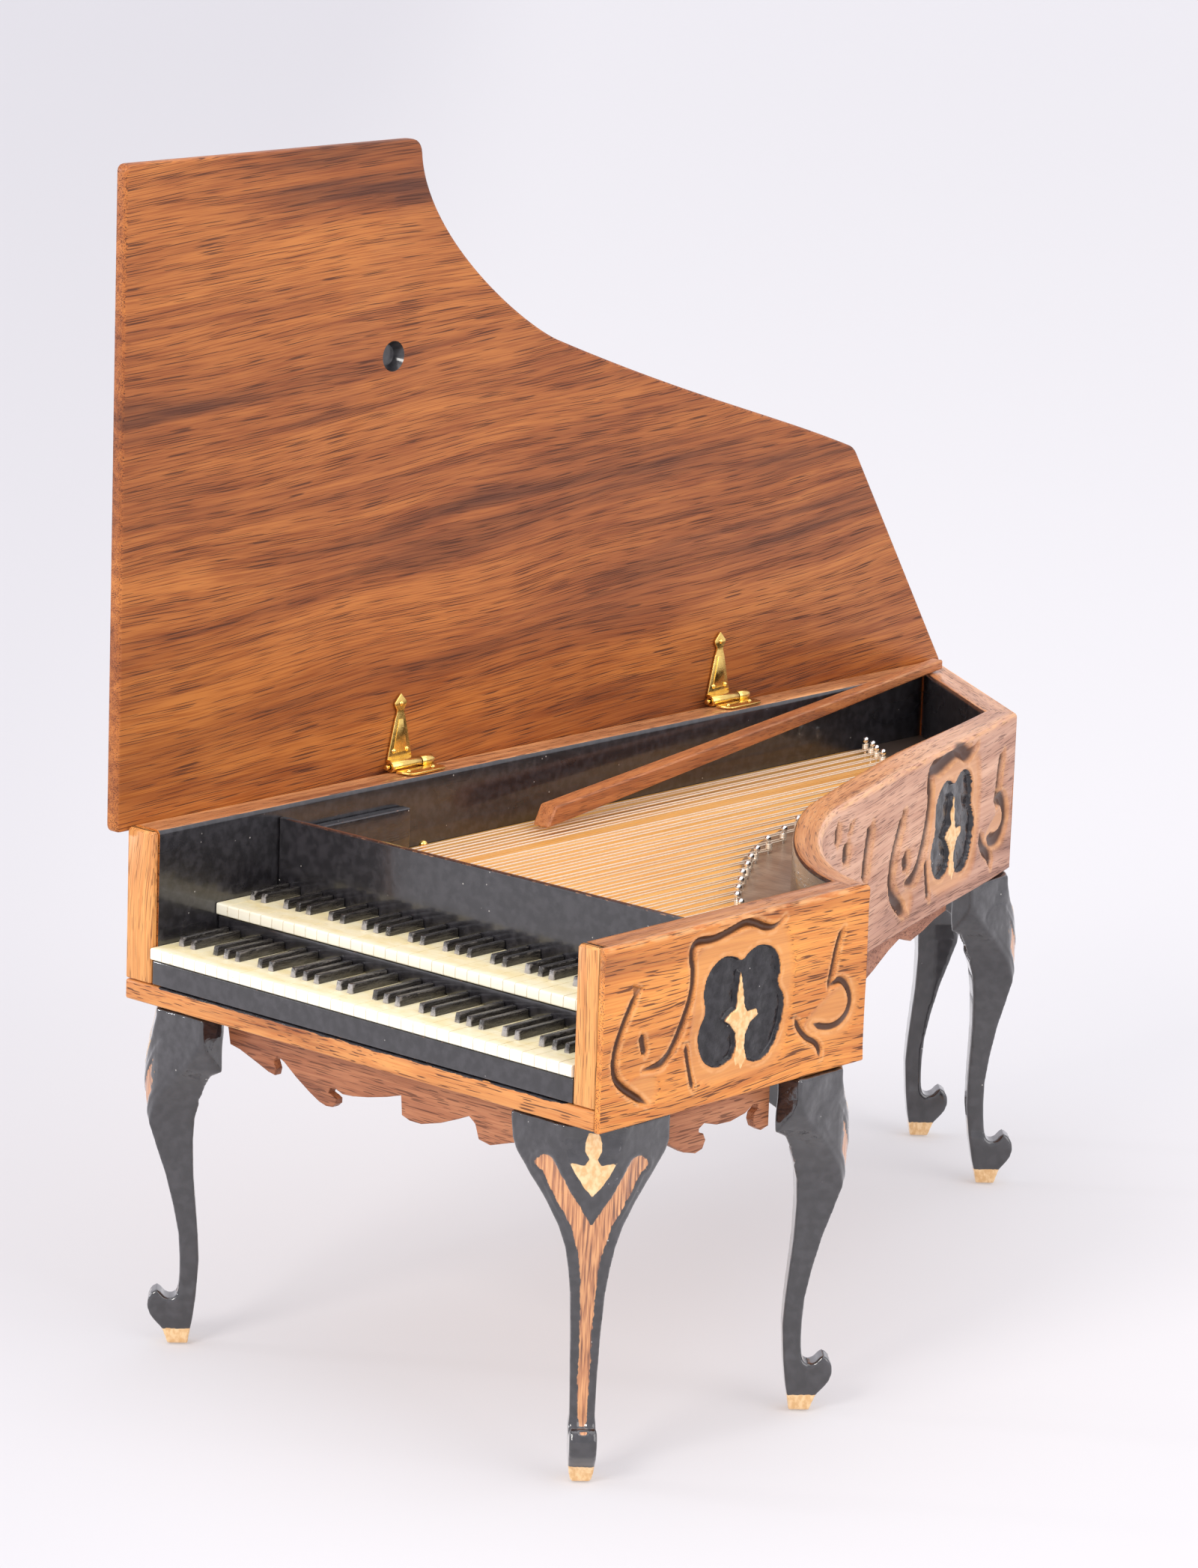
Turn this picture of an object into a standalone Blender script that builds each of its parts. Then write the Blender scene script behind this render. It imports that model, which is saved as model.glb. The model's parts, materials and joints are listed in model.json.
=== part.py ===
"""Miniature two-manual harpsichord at 1:12, with a hinged lid and a loose prop stick.

Plan coordinates run from the front left corner of the case: +X towards the cheek,
+Y towards the tail, +Z up from the floor. The parent empty moves them so that the
centre of the footprint stands on the world origin.
"""

import math

import bmesh
import bpy
from mathutils import Matrix, Vector

MM = 0.001
COLLECTION = "miniature_harpsichord"

# Driving dimensions
GAP = 0.12 * MM              # glue line between fixed pieces
CLEARANCE = 0.30 * MM        # between pieces that move apart
LEG_HEIGHT = 42.7 * MM       # floor to the bottom of the case
CASE_WIDTH = 76.0 * MM       # spine to cheek
SPINE_LENGTH = 152.8 * MM
CHEEK_LENGTH = 45.8 * MM
TAIL_CORNER = (29.0 * MM, 133.8 * MM)
CASE_HEIGHT = 21.1 * MM
WALL = 4.3 * MM
SKIN = 0.9 * MM              # outer face that laps over base board and stile
BASE_THICKNESS = 2.4 * MM
STILE_DEPTH = 1.0 * MM
RIM_ROUND = 0.55 * MM
BENT_STEPS = 11              # straight pieces in each half of the bentside
BENT_WALL_PLACES = (0.0, 0.33, 0.5, 0.72, 1.0)   # shares of the bentside's pieces
BENT_WALL_SIZES = (3.0 * MM, 3.7 * MM, 4.4 * MM, 5.4 * MM, 4.3 * MM)

# Keyboards
NATURALS = 36
SHARP_WIDTH = 0.8 * MM
SHARP_HEIGHT = 1.0 * MM
SHARP_SETBACK = 3.3 * MM     # from the naturals' front edge
NATURAL_THICKNESS = 1.4 * MM
LOWER_FRONT = -0.2 * MM
LOWER_TOP = 7.0 * MM         # above the bottom of the case
UPPER_FRONT = 10.6 * MM
UPPER_TOP = 10.75 * MM
COMB_RAIL = 0.6 * MM
SLIP_THICKNESS = 1.5 * MM
NAMEBOARD_Y = 20.9 * MM
NAMEBOARD_THICKNESS = 0.9 * MM
NAMEBOARD_TOP = 19.7 * MM

# Soundboard, strings and pins
SOUNDBOARD_TOP = 12.3 * MM
SOUNDBOARD_THICKNESS = 0.8 * MM
RAIL_THICKNESS = 2.2 * MM
PLATE_THICKNESS = 0.45 * MM
STRING_RADIUS = 0.17 * MM
STRING_HEIGHT = 0.95 * MM    # above the soundboard
TREBLE_PITCH = 1.15 * MM
TREBLE_STRINGS = 34
TREBLE_START = 17.6 * MM
BASS_PITCH = 1.05 * MM
BASS_STRINGS = 8
BASS_START = 7.8 * MM
PIN_LINE_PLACES = (0.38, 0.61)                   # shares of the bentside's pieces
PIN_SETBACKS = (9.8 * MM, 12.0 * MM)             # hitch pins inside its outer face
PLATE_SETBACK = 8.9 * MM     # far edge of the hitch-pin plate
HOLLOW_CENTRE = (58.5 * MM, 65.5 * MM)
HOLLOW_RADIUS = 11.5 * MM
NUT_SETBACK = 1.0 * MM       # behind the belly rail's front face
NUT_WIDTH = 1.4 * MM
CLEAT_THICKNESS = 1.6 * MM
CLEAT_END = 42.3 * MM
CLEAT_TOP = 17.9 * MM        # above the bottom of the case
BEAD_RADIUS = 0.55 * MM
BEAD_PLACE = (6.2 * MM, 44.4 * MM)
BASS_PIN_SETBACK = 16.2 * MM # hitch pins inside the tail's outer face
PIN_RADIUS = 0.24 * MM
PIN_HEAD = 0.42 * MM
PIN_TOP = 15.1 * MM
PIN_STRIP = 0.3 * MM

# Lid, hinges and prop stick
LID_THICKNESS = 1.8 * MM
LID_OVERHANG = 2.3 * MM      # past the cheek and the bentside
LID_FRONT = 1.6 * MM
LID_TAIL = 1.2 * MM
LID_HOLE = (52.0 * MM, 43.6 * MM)
LID_HOLE_RADIUS = 1.6 * MM
LID_HOLE_DEPTH = 1.1 * MM
HINGE_Y = (46.2 * MM, 106.8 * MM)
KNUCKLE_RADIUS = 0.7 * MM
KNUCKLE_BORE = 0.35 * MM
HINGE_PIN_RADIUS = 0.27 * MM
LEAF = 0.3 * MM              # brass sheet
STRAP_KNUCKLE = 5.2 * MM
LEAF_KNUCKLE = 2.0 * MM
AXIS_X = 0.9 * MM
LID_DROP = 0.9 * MM          # the open lid hangs this far below the rim
NAIL_RADIUS = 0.32 * MM
NAIL_HEIGHT = 0.22 * MM
STRAP_NAILS = ((-1.15, 1.0), (1.15, 1.0), (0, 6.9))   # (along, up) in millimetres
LEAF_NAILS = (1.3, 5.6)                               # along, in millimetres
LEAF_NAIL_X = 2.9 * MM
STICK_NEAR = (11.4 * MM, 60.5 * MM)
STICK_FAR = (5.3 * MM, 146.6 * MM)
STICK_NEAR_SIZE = (2.6 * MM, 2.6 * MM)      # width, depth
STICK_FAR_SIZE = (1.8 * MM, 1.3 * MM)
STICK_LEAN = 1.4 * MM        # slope of the sawn near end
STICK_RISE = 0.1 * MM        # far end above the tail's rim

# Legs and aprons
LEGS = {                     # sole's centre in plan, heading in degrees, lean of the sole
    "front_left_leg": (4.95 * MM, 4.95 * MM, 225, 0.0),
    "front_right_leg": (70.45 * MM, 4.95 * MM, 315, 0.0),
    "cheek_leg": (71.6 * MM, 42.0 * MM, 45, 0.0),
    "tail_right_leg": (26.3 * MM, 131.1 * MM, 45, 3.2 * MM),
    "tail_left_leg": (9.4 * MM, 142.0 * MM, 45, 0.0),
}
EAR_LENGTH = 12.9 * MM
FRONT_APRON = (13.75 * MM, 61.65 * MM)      # its ends between the legs
CHEEK_APRON = (13.75 * MM, 33.2 * MM)
EAR_THICKNESS = 3.6 * MM
KNEE_CORNER = 6.0 * MM
KNEE_RADIUS = 3.4 * MM
KNEE_BOTTOM = 30.0 * MM
APRON_THICKNESS = 1.2 * MM
APRON_INSET = 3.4 * MM

CASE_BOTTOM = LEG_HEIGHT
RIM = CASE_BOTTOM + CASE_HEIGHT
BASE_TOP = CASE_BOTTOM + BASE_THICKNESS
AXIS_Z = RIM + GAP + KNUCKLE_RADIUS
LID_BACK = CLEARANCE + LID_THICKNESS
CENTRE_X = (CASE_WIDTH - LID_BACK) / 2
CENTRE_Y = 76.16 * MM
WALNUT = (0.36, 0.145, 0.055)

for old in list(bpy.data.objects):
    bpy.data.objects.remove(old, do_unlink=True)

parts = bpy.data.collections.new(COLLECTION)
bpy.context.scene.collection.children.link(parts)
cutters = bpy.data.collections.new("cutters")
bpy.context.scene.collection.children.link(cutters)


def empty(name, location, parent=None):
    obj = bpy.data.objects.new(name, None)
    obj.empty_display_size = 0.01
    obj.location = location
    parts.objects.link(obj)
    if parent:
        obj.parent = parent
        obj.matrix_parent_inverse = Matrix.Translation(parent.location).inverted()
    return obj


case_origin = empty("case_origin", (0, 0, 0))
lid_axis = empty("lid_axis", (AXIS_X, 0, AXIS_Z), case_origin)
stick_origin = empty("stick_origin", (*STICK_NEAR, CASE_BOTTOM + SOUNDBOARD_TOP), case_origin)


# ---------------------------------------------------------------- helpers

def material(name, colour, roughness, metallic=0.0):
    mat = bpy.data.materials.new(name)
    mat.use_nodes = True
    shader = mat.node_tree.nodes["Principled BSDF"]
    shader.inputs["Base Color"].default_value = (*colour, 1.0)
    shader.inputs["Roughness"].default_value = roughness
    shader.inputs["Metallic"].default_value = metallic
    mat.diffuse_color = (*colour, 1.0)
    return mat


def finish_part(name, mesh, look, parent=case_origin):
    """Link a mesh given in plan coordinates as a named part, its origin at its parent."""
    colour, roughness, metallic = look
    mesh.transform(Matrix.Translation(-parent.location))
    mesh.materials.clear()
    mesh.materials.append(material(name + "_material", colour, roughness, metallic))
    mesh.shade_smooth()
    mesh.set_sharp_from_angle(angle=math.radians(35))
    obj = bpy.data.objects.new(name, mesh)
    obj.parent = parent
    parts.objects.link(obj)
    return obj


def mesh_from(bm, name="shape"):
    mesh = bpy.data.meshes.new(name)
    bm.normal_update()
    bmesh.ops.recalc_face_normals(bm, faces=bm.faces)
    bm.to_mesh(mesh)
    bm.free()
    return mesh


def box(low, high):
    bm = bmesh.new()
    bmesh.ops.create_cube(bm, size=1.0)
    size = Vector(high) - Vector(low)
    middle = (Vector(high) + Vector(low)) / 2
    bmesh.ops.scale(bm, vec=size, verts=bm.verts)
    bmesh.ops.translate(bm, vec=middle, verts=bm.verts)
    return mesh_from(bm)


def cylinder(radius, low, high, axis="Z", sides=16):
    """Cylinder from point low to point high, which lie along one axis."""
    bm = bmesh.new()
    length = (Vector(high) - Vector(low)).length
    bmesh.ops.create_cone(bm, segments=sides, radius1=radius, radius2=radius,
                          depth=length, cap_ends=True)
    turn = {"X": ("Y", 90), "Y": ("X", 90), "Z": ("Z", 0)}[axis]
    bmesh.ops.rotate(bm, matrix=Matrix.Rotation(math.radians(turn[1]), 3, turn[0]),
                     verts=bm.verts)
    bmesh.ops.translate(bm, vec=(Vector(high) + Vector(low)) / 2, verts=bm.verts)
    return mesh_from(bm)


def turned(profile, centre, sides=8):
    """Profile of (radius, height) points from top to bottom, turned by a Screw modifier."""
    bm = bmesh.new()
    verts = [bm.verts.new((radius, 0, height)) for radius, height in profile]
    for upper, lower in zip(verts, verts[1:]):
        bm.edges.new((upper, lower))
    mesh = bpy.data.meshes.new("profile")
    bm.to_mesh(mesh)
    bm.free()
    obj = bpy.data.objects.new("profile", mesh)
    cutters.objects.link(obj)
    screw = obj.modifiers.new("Screw", "SCREW")
    screw.steps = screw.render_steps = sides
    screw.use_merge_vertices = True
    screw.merge_threshold = 0.005 * MM
    result = baked(obj)
    result.transform(Matrix.Translation(centre))
    return result


def baked(obj):
    """The evaluated mesh of a temporary object, in world space, welded; the object goes."""
    bpy.context.view_layer.update()
    graph = bpy.context.evaluated_depsgraph_get()
    mesh = bpy.data.meshes.new_from_object(obj.evaluated_get(graph))
    mesh.transform(obj.matrix_world)
    bpy.data.objects.remove(obj, do_unlink=True)
    bm = bmesh.new()
    bm.from_mesh(mesh)
    bmesh.ops.remove_doubles(bm, verts=bm.verts, dist=0.001 * MM)
    bmesh.ops.recalc_face_normals(bm, faces=bm.faces)
    bm.to_mesh(mesh)
    bm.free()
    return mesh


PLAN = Matrix.Identity(4)
FRONT = Matrix.Rotation(math.radians(90), 4, "X")                       # (x, z), faces -Y
SIDE = Matrix(((0, 0, 1, 0), (1, 0, 0, 0), (0, 1, 0, 0), (0, 0, 0, 1)))  # (y, z), faces +X


def board(outlines, low, high, plane=PLAN):
    """Flat board: closed outlines in a plane, the later ones holes, from low to high."""
    curve = bpy.data.curves.new("outline", "CURVE")
    curve.dimensions = "2D"
    curve.fill_mode = "BOTH"
    curve.extrude = (high - low) / 2
    for points in outlines:
        spline = curve.splines.new("POLY")
        spline.points.add(len(points) - 1)
        for slot, (x, y) in zip(spline.points, points):
            slot.co = (x, y, 0, 1)
        spline.use_cyclic_u = True
    obj = bpy.data.objects.new("board", curve)
    cutters.objects.link(obj)
    normal = plane.to_3x3() @ Vector((0, 0, 1))
    obj.matrix_world = Matrix.Translation(normal * ((low + high) / 2)) @ plane
    return baked(obj)


def combined(mesh, other, operation):
    """Boolean of two meshes with the exact solver."""
    obj = bpy.data.objects.new("base", mesh)
    tool = bpy.data.objects.new("tool", other)
    for each in (obj, tool):
        cutters.objects.link(each)
        each.display_type = "WIRE"
        each.hide_render = True
    modifier = obj.modifiers.new("Boolean", "BOOLEAN")
    modifier.operation = operation
    modifier.solver = "EXACT"
    modifier.object = tool
    result = baked(obj)
    bpy.data.objects.remove(tool, do_unlink=True)
    return result


def rounded(obj, width, segments, chosen):
    """Bevel the sharp edges whose two ends, in plan coordinates, pass the test."""
    bm = bmesh.new()
    bm.from_mesh(obj.data)
    weight = bm.edges.layers.float.new("bevel_weight_edge")
    shift = obj.parent.location
    for edge in bm.edges:
        sharp = len(edge.link_faces) == 2 and edge.calc_face_angle() > math.radians(50)
        if sharp and all(chosen(vert.co + shift) for vert in edge.verts):
            edge[weight] = 1.0
    bm.to_mesh(obj.data)
    bm.free()
    bevel = obj.modifiers.new("Bevel", "BEVEL")
    bevel.limit_method = "WEIGHT"
    bevel.width = width
    bevel.segments = segments
    return obj


def at_rim(point):
    return abs(point.z - RIM) < 0.01 * MM


def arc(centre, radius, start, stop, steps):
    """Points along an arc; angles in degrees."""
    angles = [math.radians(start + (stop - start) * i / steps) for i in range(steps + 1)]
    return [(centre[0] + radius * math.cos(a), centre[1] + radius * math.sin(a))
            for a in angles]


# ---------------------------------------------------------------- plan outline

def bezier(p0, p1, p2, p3, steps):
    points = []
    for i in range(steps):
        t = i / steps
        s = 1 - t
        points.append(p0 * s ** 3 + p1 * 3 * s * s * t + p2 * 3 * s * t * t + p3 * t ** 3)
    return points


def bentside_curve():
    """Bentside from the cheek corner to the tail corner: a hollow bend, then a long run."""
    start = Vector((CASE_WIDTH, CHEEK_LENGTH))
    waist = Vector((49.15 * MM, 73.0 * MM))
    end = Vector(TAIL_CORNER)
    leaving_cheek = Vector((-0.993, 0.115)) * 12 * MM
    at_waist = Vector((-0.349, 0.937)) * MM
    at_tail = Vector((-0.345, 0.939)) * 18 * MM
    bend = bezier(start, start + leaving_cheek, waist - at_waist * 7, waist, BENT_STEPS)
    run = bezier(waist, waist + at_waist * 30, end - at_tail, end, BENT_STEPS)
    return bend + run + [end]


def between(share, places, sizes):
    """Straight-line interpolation, flat past either end."""
    if share <= places[0]:
        return sizes[0]
    for i in range(1, len(places)):
        if share <= places[i]:
            part = (share - places[i - 1]) / (places[i] - places[i - 1])
            return sizes[i - 1] + (sizes[i] - sizes[i - 1]) * part
    return sizes[-1]


def shifted(points, distances):
    """Closed outline, each edge moved inwards by its own distance and mitred at corners."""
    count = len(points)
    result = []
    for i in range(count):
        before = (points[i] - points[i - 1]).normalized()
        after = (points[(i + 1) % count] - points[i]).normalized()
        n1 = Vector((-before.y, before.x))
        n2 = Vector((-after.y, after.x))
        d1, d2 = distances[i - 1], distances[i]
        det = n1.x * n2.y - n1.y * n2.x
        if abs(det) < SLIGHT_TURN:
            middle = (n1 + n2).normalized()
            move = middle * (d1 + d2) / 2 / middle.dot(n1)
        else:
            move = Vector(((d1 * n2.y - d2 * n1.y) / det, (d2 * n1.x - d1 * n2.x) / det))
        result.append(points[i] + move)
    return result


SLIGHT_TURN = 0.34             # sine of the turn below which an edge runs on as a curve
BENT = bentside_curve()
PIECES = len(BENT) - 1
BENT_WALL = [between((i + 0.5) / PIECES, BENT_WALL_PLACES, BENT_WALL_SIZES)
             for i in range(PIECES)]
PIN_LINE = [between((i + 0.5) / PIECES, PIN_LINE_PLACES, PIN_SETBACKS) for i in range(PIECES)]
CORNERS = [Vector((0, 0)), Vector((CASE_WIDTH, 0))] + BENT + [Vector((0, SPINE_LENGTH))]
FIRST_BENT = 2
LAST_BENT = FIRST_BENT + PIECES
SPINE_END = LAST_BENT + 1


def outline(front=0.0, cheek=0.0, bent=0.0, tail=0.0, spine=0.0):
    """Case outline, anticlockwise from the front left, each side moved inwards.

    The bentside takes one distance, or a list with one for each of its pieces.
    """
    along_bent = bent if isinstance(bent, list) else [bent] * PIECES
    return shifted(CORNERS, [front, cheek] + along_bent + [tail, spine])


def inside_bent(extra):
    return [thickness + extra for thickness in BENT_WALL]


def inner_outline(extra=0.0, front=0.0):
    inside = WALL + extra
    return outline(front=front, cheek=inside, bent=inside_bent(extra), tail=inside,
                   spine=inside)


def filleted(points, index, radius, steps=4):
    """Replace one corner by a round of the given radius."""
    corner = points[index]
    to_last = (points[index - 1] - corner).normalized()
    to_next = (points[(index + 1) % len(points)] - corner).normalized()
    half = to_last.angle(to_next) / 2
    reach = radius / math.tan(half)
    centre = corner + (to_last + to_next).normalized() * (radius / math.sin(half))
    start = corner + to_last * reach - centre
    stop = corner + to_next * reach - centre
    turn = start.angle_signed(stop)
    arc_points = []
    for i in range(steps + 1):
        spin = Matrix.Rotation(-turn * i / steps, 2)
        arc_points.append(centre + spin @ start)
    return points[:index] + arc_points + points[index + 1:]


# ---------------------------------------------------------------- case

def wall_strip(first, last, start_trim, end_trim):
    """Plan of a wall between two corners of the outline, its mitred ends trimmed."""
    strips = []
    for side in (outline(), inner_outline()):
        chain = [side[i % len(side)].copy() for i in range(first, last + 1)]
        chain[0] += (chain[1] - chain[0]).normalized() * start_trim
        chain[-1] += (chain[-2] - chain[-1]).normalized() * end_trim
        strips.append(chain)
    return strips[0] + strips[1][::-1]


MITRE_TRIM = 0.7 * GAP
base_seat = outline(front=-WALL, cheek=SKIN, bent=SKIN, tail=SKIN, spine=-WALL)
walnut_look = (WALNUT, 0.42, 0.0)

walls = {
    "cheek_wall": (wall_strip(1, 2, 0.0, MITRE_TRIM), CASE_BOTTOM),
    "bentside_wall": (wall_strip(FIRST_BENT, LAST_BENT, MITRE_TRIM, MITRE_TRIM), CASE_BOTTOM),
    "tail_wall": (wall_strip(LAST_BENT, SPINE_END, MITRE_TRIM, MITRE_TRIM), CASE_BOTTOM),
    "spine_wall": (wall_strip(SPINE_END, SPINE_END + 1, MITRE_TRIM, STILE_DEPTH + GAP),
                   BASE_TOP + GAP),
}
for name, (plan, bottom) in walls.items():
    shape = board([plan], bottom, RIM)
    if name != "spine_wall":
        seat = board([base_seat], CASE_BOTTOM - WALL, BASE_TOP + GAP)
        shape = combined(shape, seat, "DIFFERENCE")
    if name == "cheek_wall":
        stile_seat = box((CASE_WIDTH - 2 * WALL, -WALL, CASE_BOTTOM - WALL),
                         (CASE_WIDTH - SKIN, STILE_DEPTH + GAP, RIM + WALL))
        shape = combined(shape, stile_seat, "DIFFERENCE")
    rounded(finish_part(name, shape, walnut_look), RIM_ROUND, 2, at_rim)

base_plan = outline(cheek=SKIN + GAP, bent=SKIN + GAP, tail=SKIN + GAP)
finish_part("base_board", board([base_plan], CASE_BOTTOM, BASE_TOP), walnut_look)

stiles = {
    "front_stile_left": (0.0, WALL),
    "front_stile_right": (CASE_WIDTH - WALL, CASE_WIDTH - SKIN - GAP),
}
for name, (left, right) in stiles.items():
    shape = box((left, 0, BASE_TOP + GAP), (right, STILE_DEPTH, RIM))
    rounded(finish_part(name, shape, walnut_look), RIM_ROUND, 2, at_rim)

black_look = ((0.012, 0.011, 0.011), 0.35, 0.0)
INNER_LEFT = WALL + GAP
INNER_RIGHT = CASE_WIDTH - WALL - GAP
rail_y = NAMEBOARD_Y + NAMEBOARD_THICKNESS + GAP
soundboard_bottom = CASE_BOTTOM + SOUNDBOARD_TOP - SOUNDBOARD_THICKNESS
finish_part("belly_rail",
            box((INNER_LEFT, rail_y, BASE_TOP + GAP),
                (INNER_RIGHT, rail_y + RAIL_THICKNESS, soundboard_bottom - GAP)),
            ((0.30, 0.17, 0.08), 0.6, 0.0))

spruce_look = ((0.72, 0.42, 0.16), 0.45, 0.0)
soundboard_plan = inner_outline(GAP, front=rail_y)
finish_part("soundboard",
            board([soundboard_plan], soundboard_bottom, CASE_BOTTOM + SOUNDBOARD_TOP),
            spruce_look)

NUT_BOTTOM = CASE_BOTTOM + SOUNDBOARD_TOP + GAP
STRING_Z = CASE_BOTTOM + SOUNDBOARD_TOP + STRING_HEIGHT
nut_y = rail_y + NUT_SETBACK
finish_part("nut_rail",
            box((INNER_LEFT + CLEAT_THICKNESS, nut_y, NUT_BOTTOM),
                (INNER_RIGHT, nut_y + NUT_WIDTH, STRING_Z - STRING_RADIUS - GAP)),
            walnut_look)
cleat = box((INNER_LEFT, rail_y, NUT_BOTTOM),
            (INNER_LEFT + CLEAT_THICKNESS - GAP, CLEAT_END, CASE_BOTTOM + CLEAT_TOP))
finish_part("spine_cleat", cleat, black_look)


# ---------------------------------------------------------------- keyboards

def sharp_centres():
    """X of each sharp: at the joints between naturals, in groups of two and three."""
    width = (CASE_WIDTH - 2 * WALL) / NATURALS
    raised = (1, 2, 4, 5, 6)
    return [WALL + width * (7 * octave + step)
            for octave in range(NATURALS // 7) for step in raised]


def sharps_comb(front, rail_front, rail_back, bottom):
    """All sharps of one manual, joined by a thin rail at their far end."""
    points = [(INNER_RIGHT, rail_front), (INNER_RIGHT, rail_back),
              (INNER_LEFT, rail_back), (INNER_LEFT, rail_front)]
    for x in sharp_centres():
        left, right = x - SHARP_WIDTH / 2, x + SHARP_WIDTH / 2
        points += [(left, rail_front), (left, front), (right, front), (right, rail_front)]
    return board([points], bottom, bottom + SHARP_HEIGHT)


ivory_look = ((0.80, 0.74, 0.52), 0.4, 0.0)
key_back = NAMEBOARD_Y - GAP
lower_top = CASE_BOTTOM + LOWER_TOP
lower_bottom = lower_top - NATURAL_THICKNESS
upper_top = CASE_BOTTOM + UPPER_TOP
upper_bottom = upper_top - NATURAL_THICKNESS
riser_front = UPPER_FRONT + 0.3 * MM
slip_back = 0.1 * MM + SLIP_THICKNESS

finish_part("key_slip",
            box((INNER_LEFT, 0.1 * MM, BASE_TOP + GAP),
                (INNER_RIGHT, slip_back, lower_bottom - GAP)), black_look)
finish_part("key_bed",
            box((INNER_LEFT, slip_back + GAP, BASE_TOP + GAP),
                (INNER_RIGHT, key_back, lower_bottom - GAP)),
            ((0.30, 0.17, 0.08), 0.6, 0.0))
finish_part("lower_naturals",
            box((INNER_LEFT, LOWER_FRONT, lower_bottom), (INNER_RIGHT, key_back, lower_top)),
            ivory_look)
finish_part("lower_sharps",
            sharps_comb(LOWER_FRONT + SHARP_SETBACK, riser_front - GAP - COMB_RAIL,
                        riser_front - GAP, lower_top + GAP), black_look)
finish_part("key_riser",
            box((INNER_LEFT, riser_front, lower_top + GAP),
                (INNER_RIGHT, key_back, upper_bottom - GAP)), black_look)
finish_part("upper_naturals",
            box((INNER_LEFT, UPPER_FRONT, upper_bottom), (INNER_RIGHT, key_back, upper_top)),
            ivory_look)
finish_part("upper_sharps",
            sharps_comb(UPPER_FRONT + SHARP_SETBACK + 0.9 * MM, key_back - COMB_RAIL,
                        key_back, upper_top + GAP), black_look)
finish_part("nameboard",
            box((INNER_LEFT, NAMEBOARD_Y, BASE_TOP + GAP),
                (INNER_RIGHT, NAMEBOARD_Y + NAMEBOARD_THICKNESS,
                 CASE_BOTTOM + NAMEBOARD_TOP)), black_look)


# ---------------------------------------------------------------- strings and pins

def line_y_at(points, x):
    """Y where a chain of points crosses the given X."""
    for p, q in zip(points, points[1:]):
        if min(p.x, q.x) <= x <= max(p.x, q.x) and p.x != q.x:
            return p.y + (q.y - p.y) * (x - p.x) / (q.x - p.x)
    return points[-1].y


pin_line = outline(bent=PIN_LINE, tail=BASS_PIN_SETBACK)[FIRST_BENT:SPINE_END + 1]
STRING_FRONT = rail_y + 0.5 * MM


def pin_places(start, pitch, count):
    """A hitch pin between each two strings, where the thread turns back."""
    xs = [start + pitch * (2 * i + 0.5) for i in range(count // 2)]
    return [Vector((x, line_y_at(pin_line, x))) for x in xs]


def laced_thread(name, start, pitch, count):
    """One thread laced up and down: round a pin at the far end, along the nut in front."""
    points = []
    for i, pin in enumerate(pin_places(start, pitch, count)):
        left, right = pin.x - pitch / 2, pin.x + pitch / 2
        points += [(left, STRING_FRONT), (left, pin.y)]
        points += arc(pin, pitch / 2, 150, 30, 2)
        points += [(right, pin.y), (right, STRING_FRONT)]
    curve = bpy.data.curves.new(name, "CURVE")
    curve.dimensions = "3D"
    curve.bevel_depth = STRING_RADIUS
    curve.bevel_resolution = 0
    curve.use_fill_caps = True
    spline = curve.splines.new("POLY")
    spline.points.add(len(points) - 1)
    for slot, (x, y) in zip(spline.points, points):
        slot.co = (x, y, STRING_Z, 1)
    obj = bpy.data.objects.new(name, curve)
    cutters.objects.link(obj)
    finish_part(name, baked(obj), ((0.78, 0.72, 0.66), 0.35, 0.8))


laced_thread("treble_strings", TREBLE_START, TREBLE_PITCH, TREBLE_STRINGS)
laced_thread("bass_strings", BASS_START, BASS_PITCH, BASS_STRINGS)

steel_look = ((0.75, 0.74, 0.72), 0.22, 1.0)
PLATE_BOTTOM = CASE_BOTTOM + SOUNDBOARD_TOP + GAP
PLATE_TOP = PLATE_BOTTOM + PLATE_THICKNESS


def pin_row(name, places, width):
    """Ball-headed pins on a thin strip that stands for the wood they are driven into."""
    along = [places[0] - (places[1] - places[0]) * 0.4] + places
    along.append(places[-1] + (places[-1] - places[-2]) * 0.4)
    near, far = [], []
    for i, place in enumerate(along):
        ahead = along[min(i + 1, len(along) - 1)] - along[max(i - 1, 0)]
        side = Vector((-ahead.y, ahead.x)).normalized() * width / 2
        near.append(place + side)
        far.append(place - side)
    shape = board([near + far[::-1]], PLATE_BOTTOM, PLATE_BOTTOM + PIN_STRIP)
    foot = PLATE_BOTTOM + PIN_STRIP / 2
    top = CASE_BOTTOM + PIN_TOP - foot
    ball = [math.radians(a) for a in (50, 0, -50)]
    profile = [(0, top)]
    profile += [(PIN_HEAD * math.cos(a), top - PIN_HEAD + PIN_HEAD * math.sin(a)) for a in ball]
    profile += [(PIN_RADIUS, 0), (0, 0)]
    for place in places:
        pin = turned(profile, (place.x, place.y, foot), sides=6)
        shape = combined(shape, pin, "UNION")
    finish_part(name, shape, steel_look)


treble_pins = pin_places(TREBLE_START, TREBLE_PITCH, TREBLE_STRINGS)
pin_row("treble_hitch_pins", treble_pins, 0.9 * MM)
bass_pins = pin_places(BASS_START, BASS_PITCH, BASS_STRINGS)
pin_row("bass_hitch_pins", bass_pins, 0.9 * MM)

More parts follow.
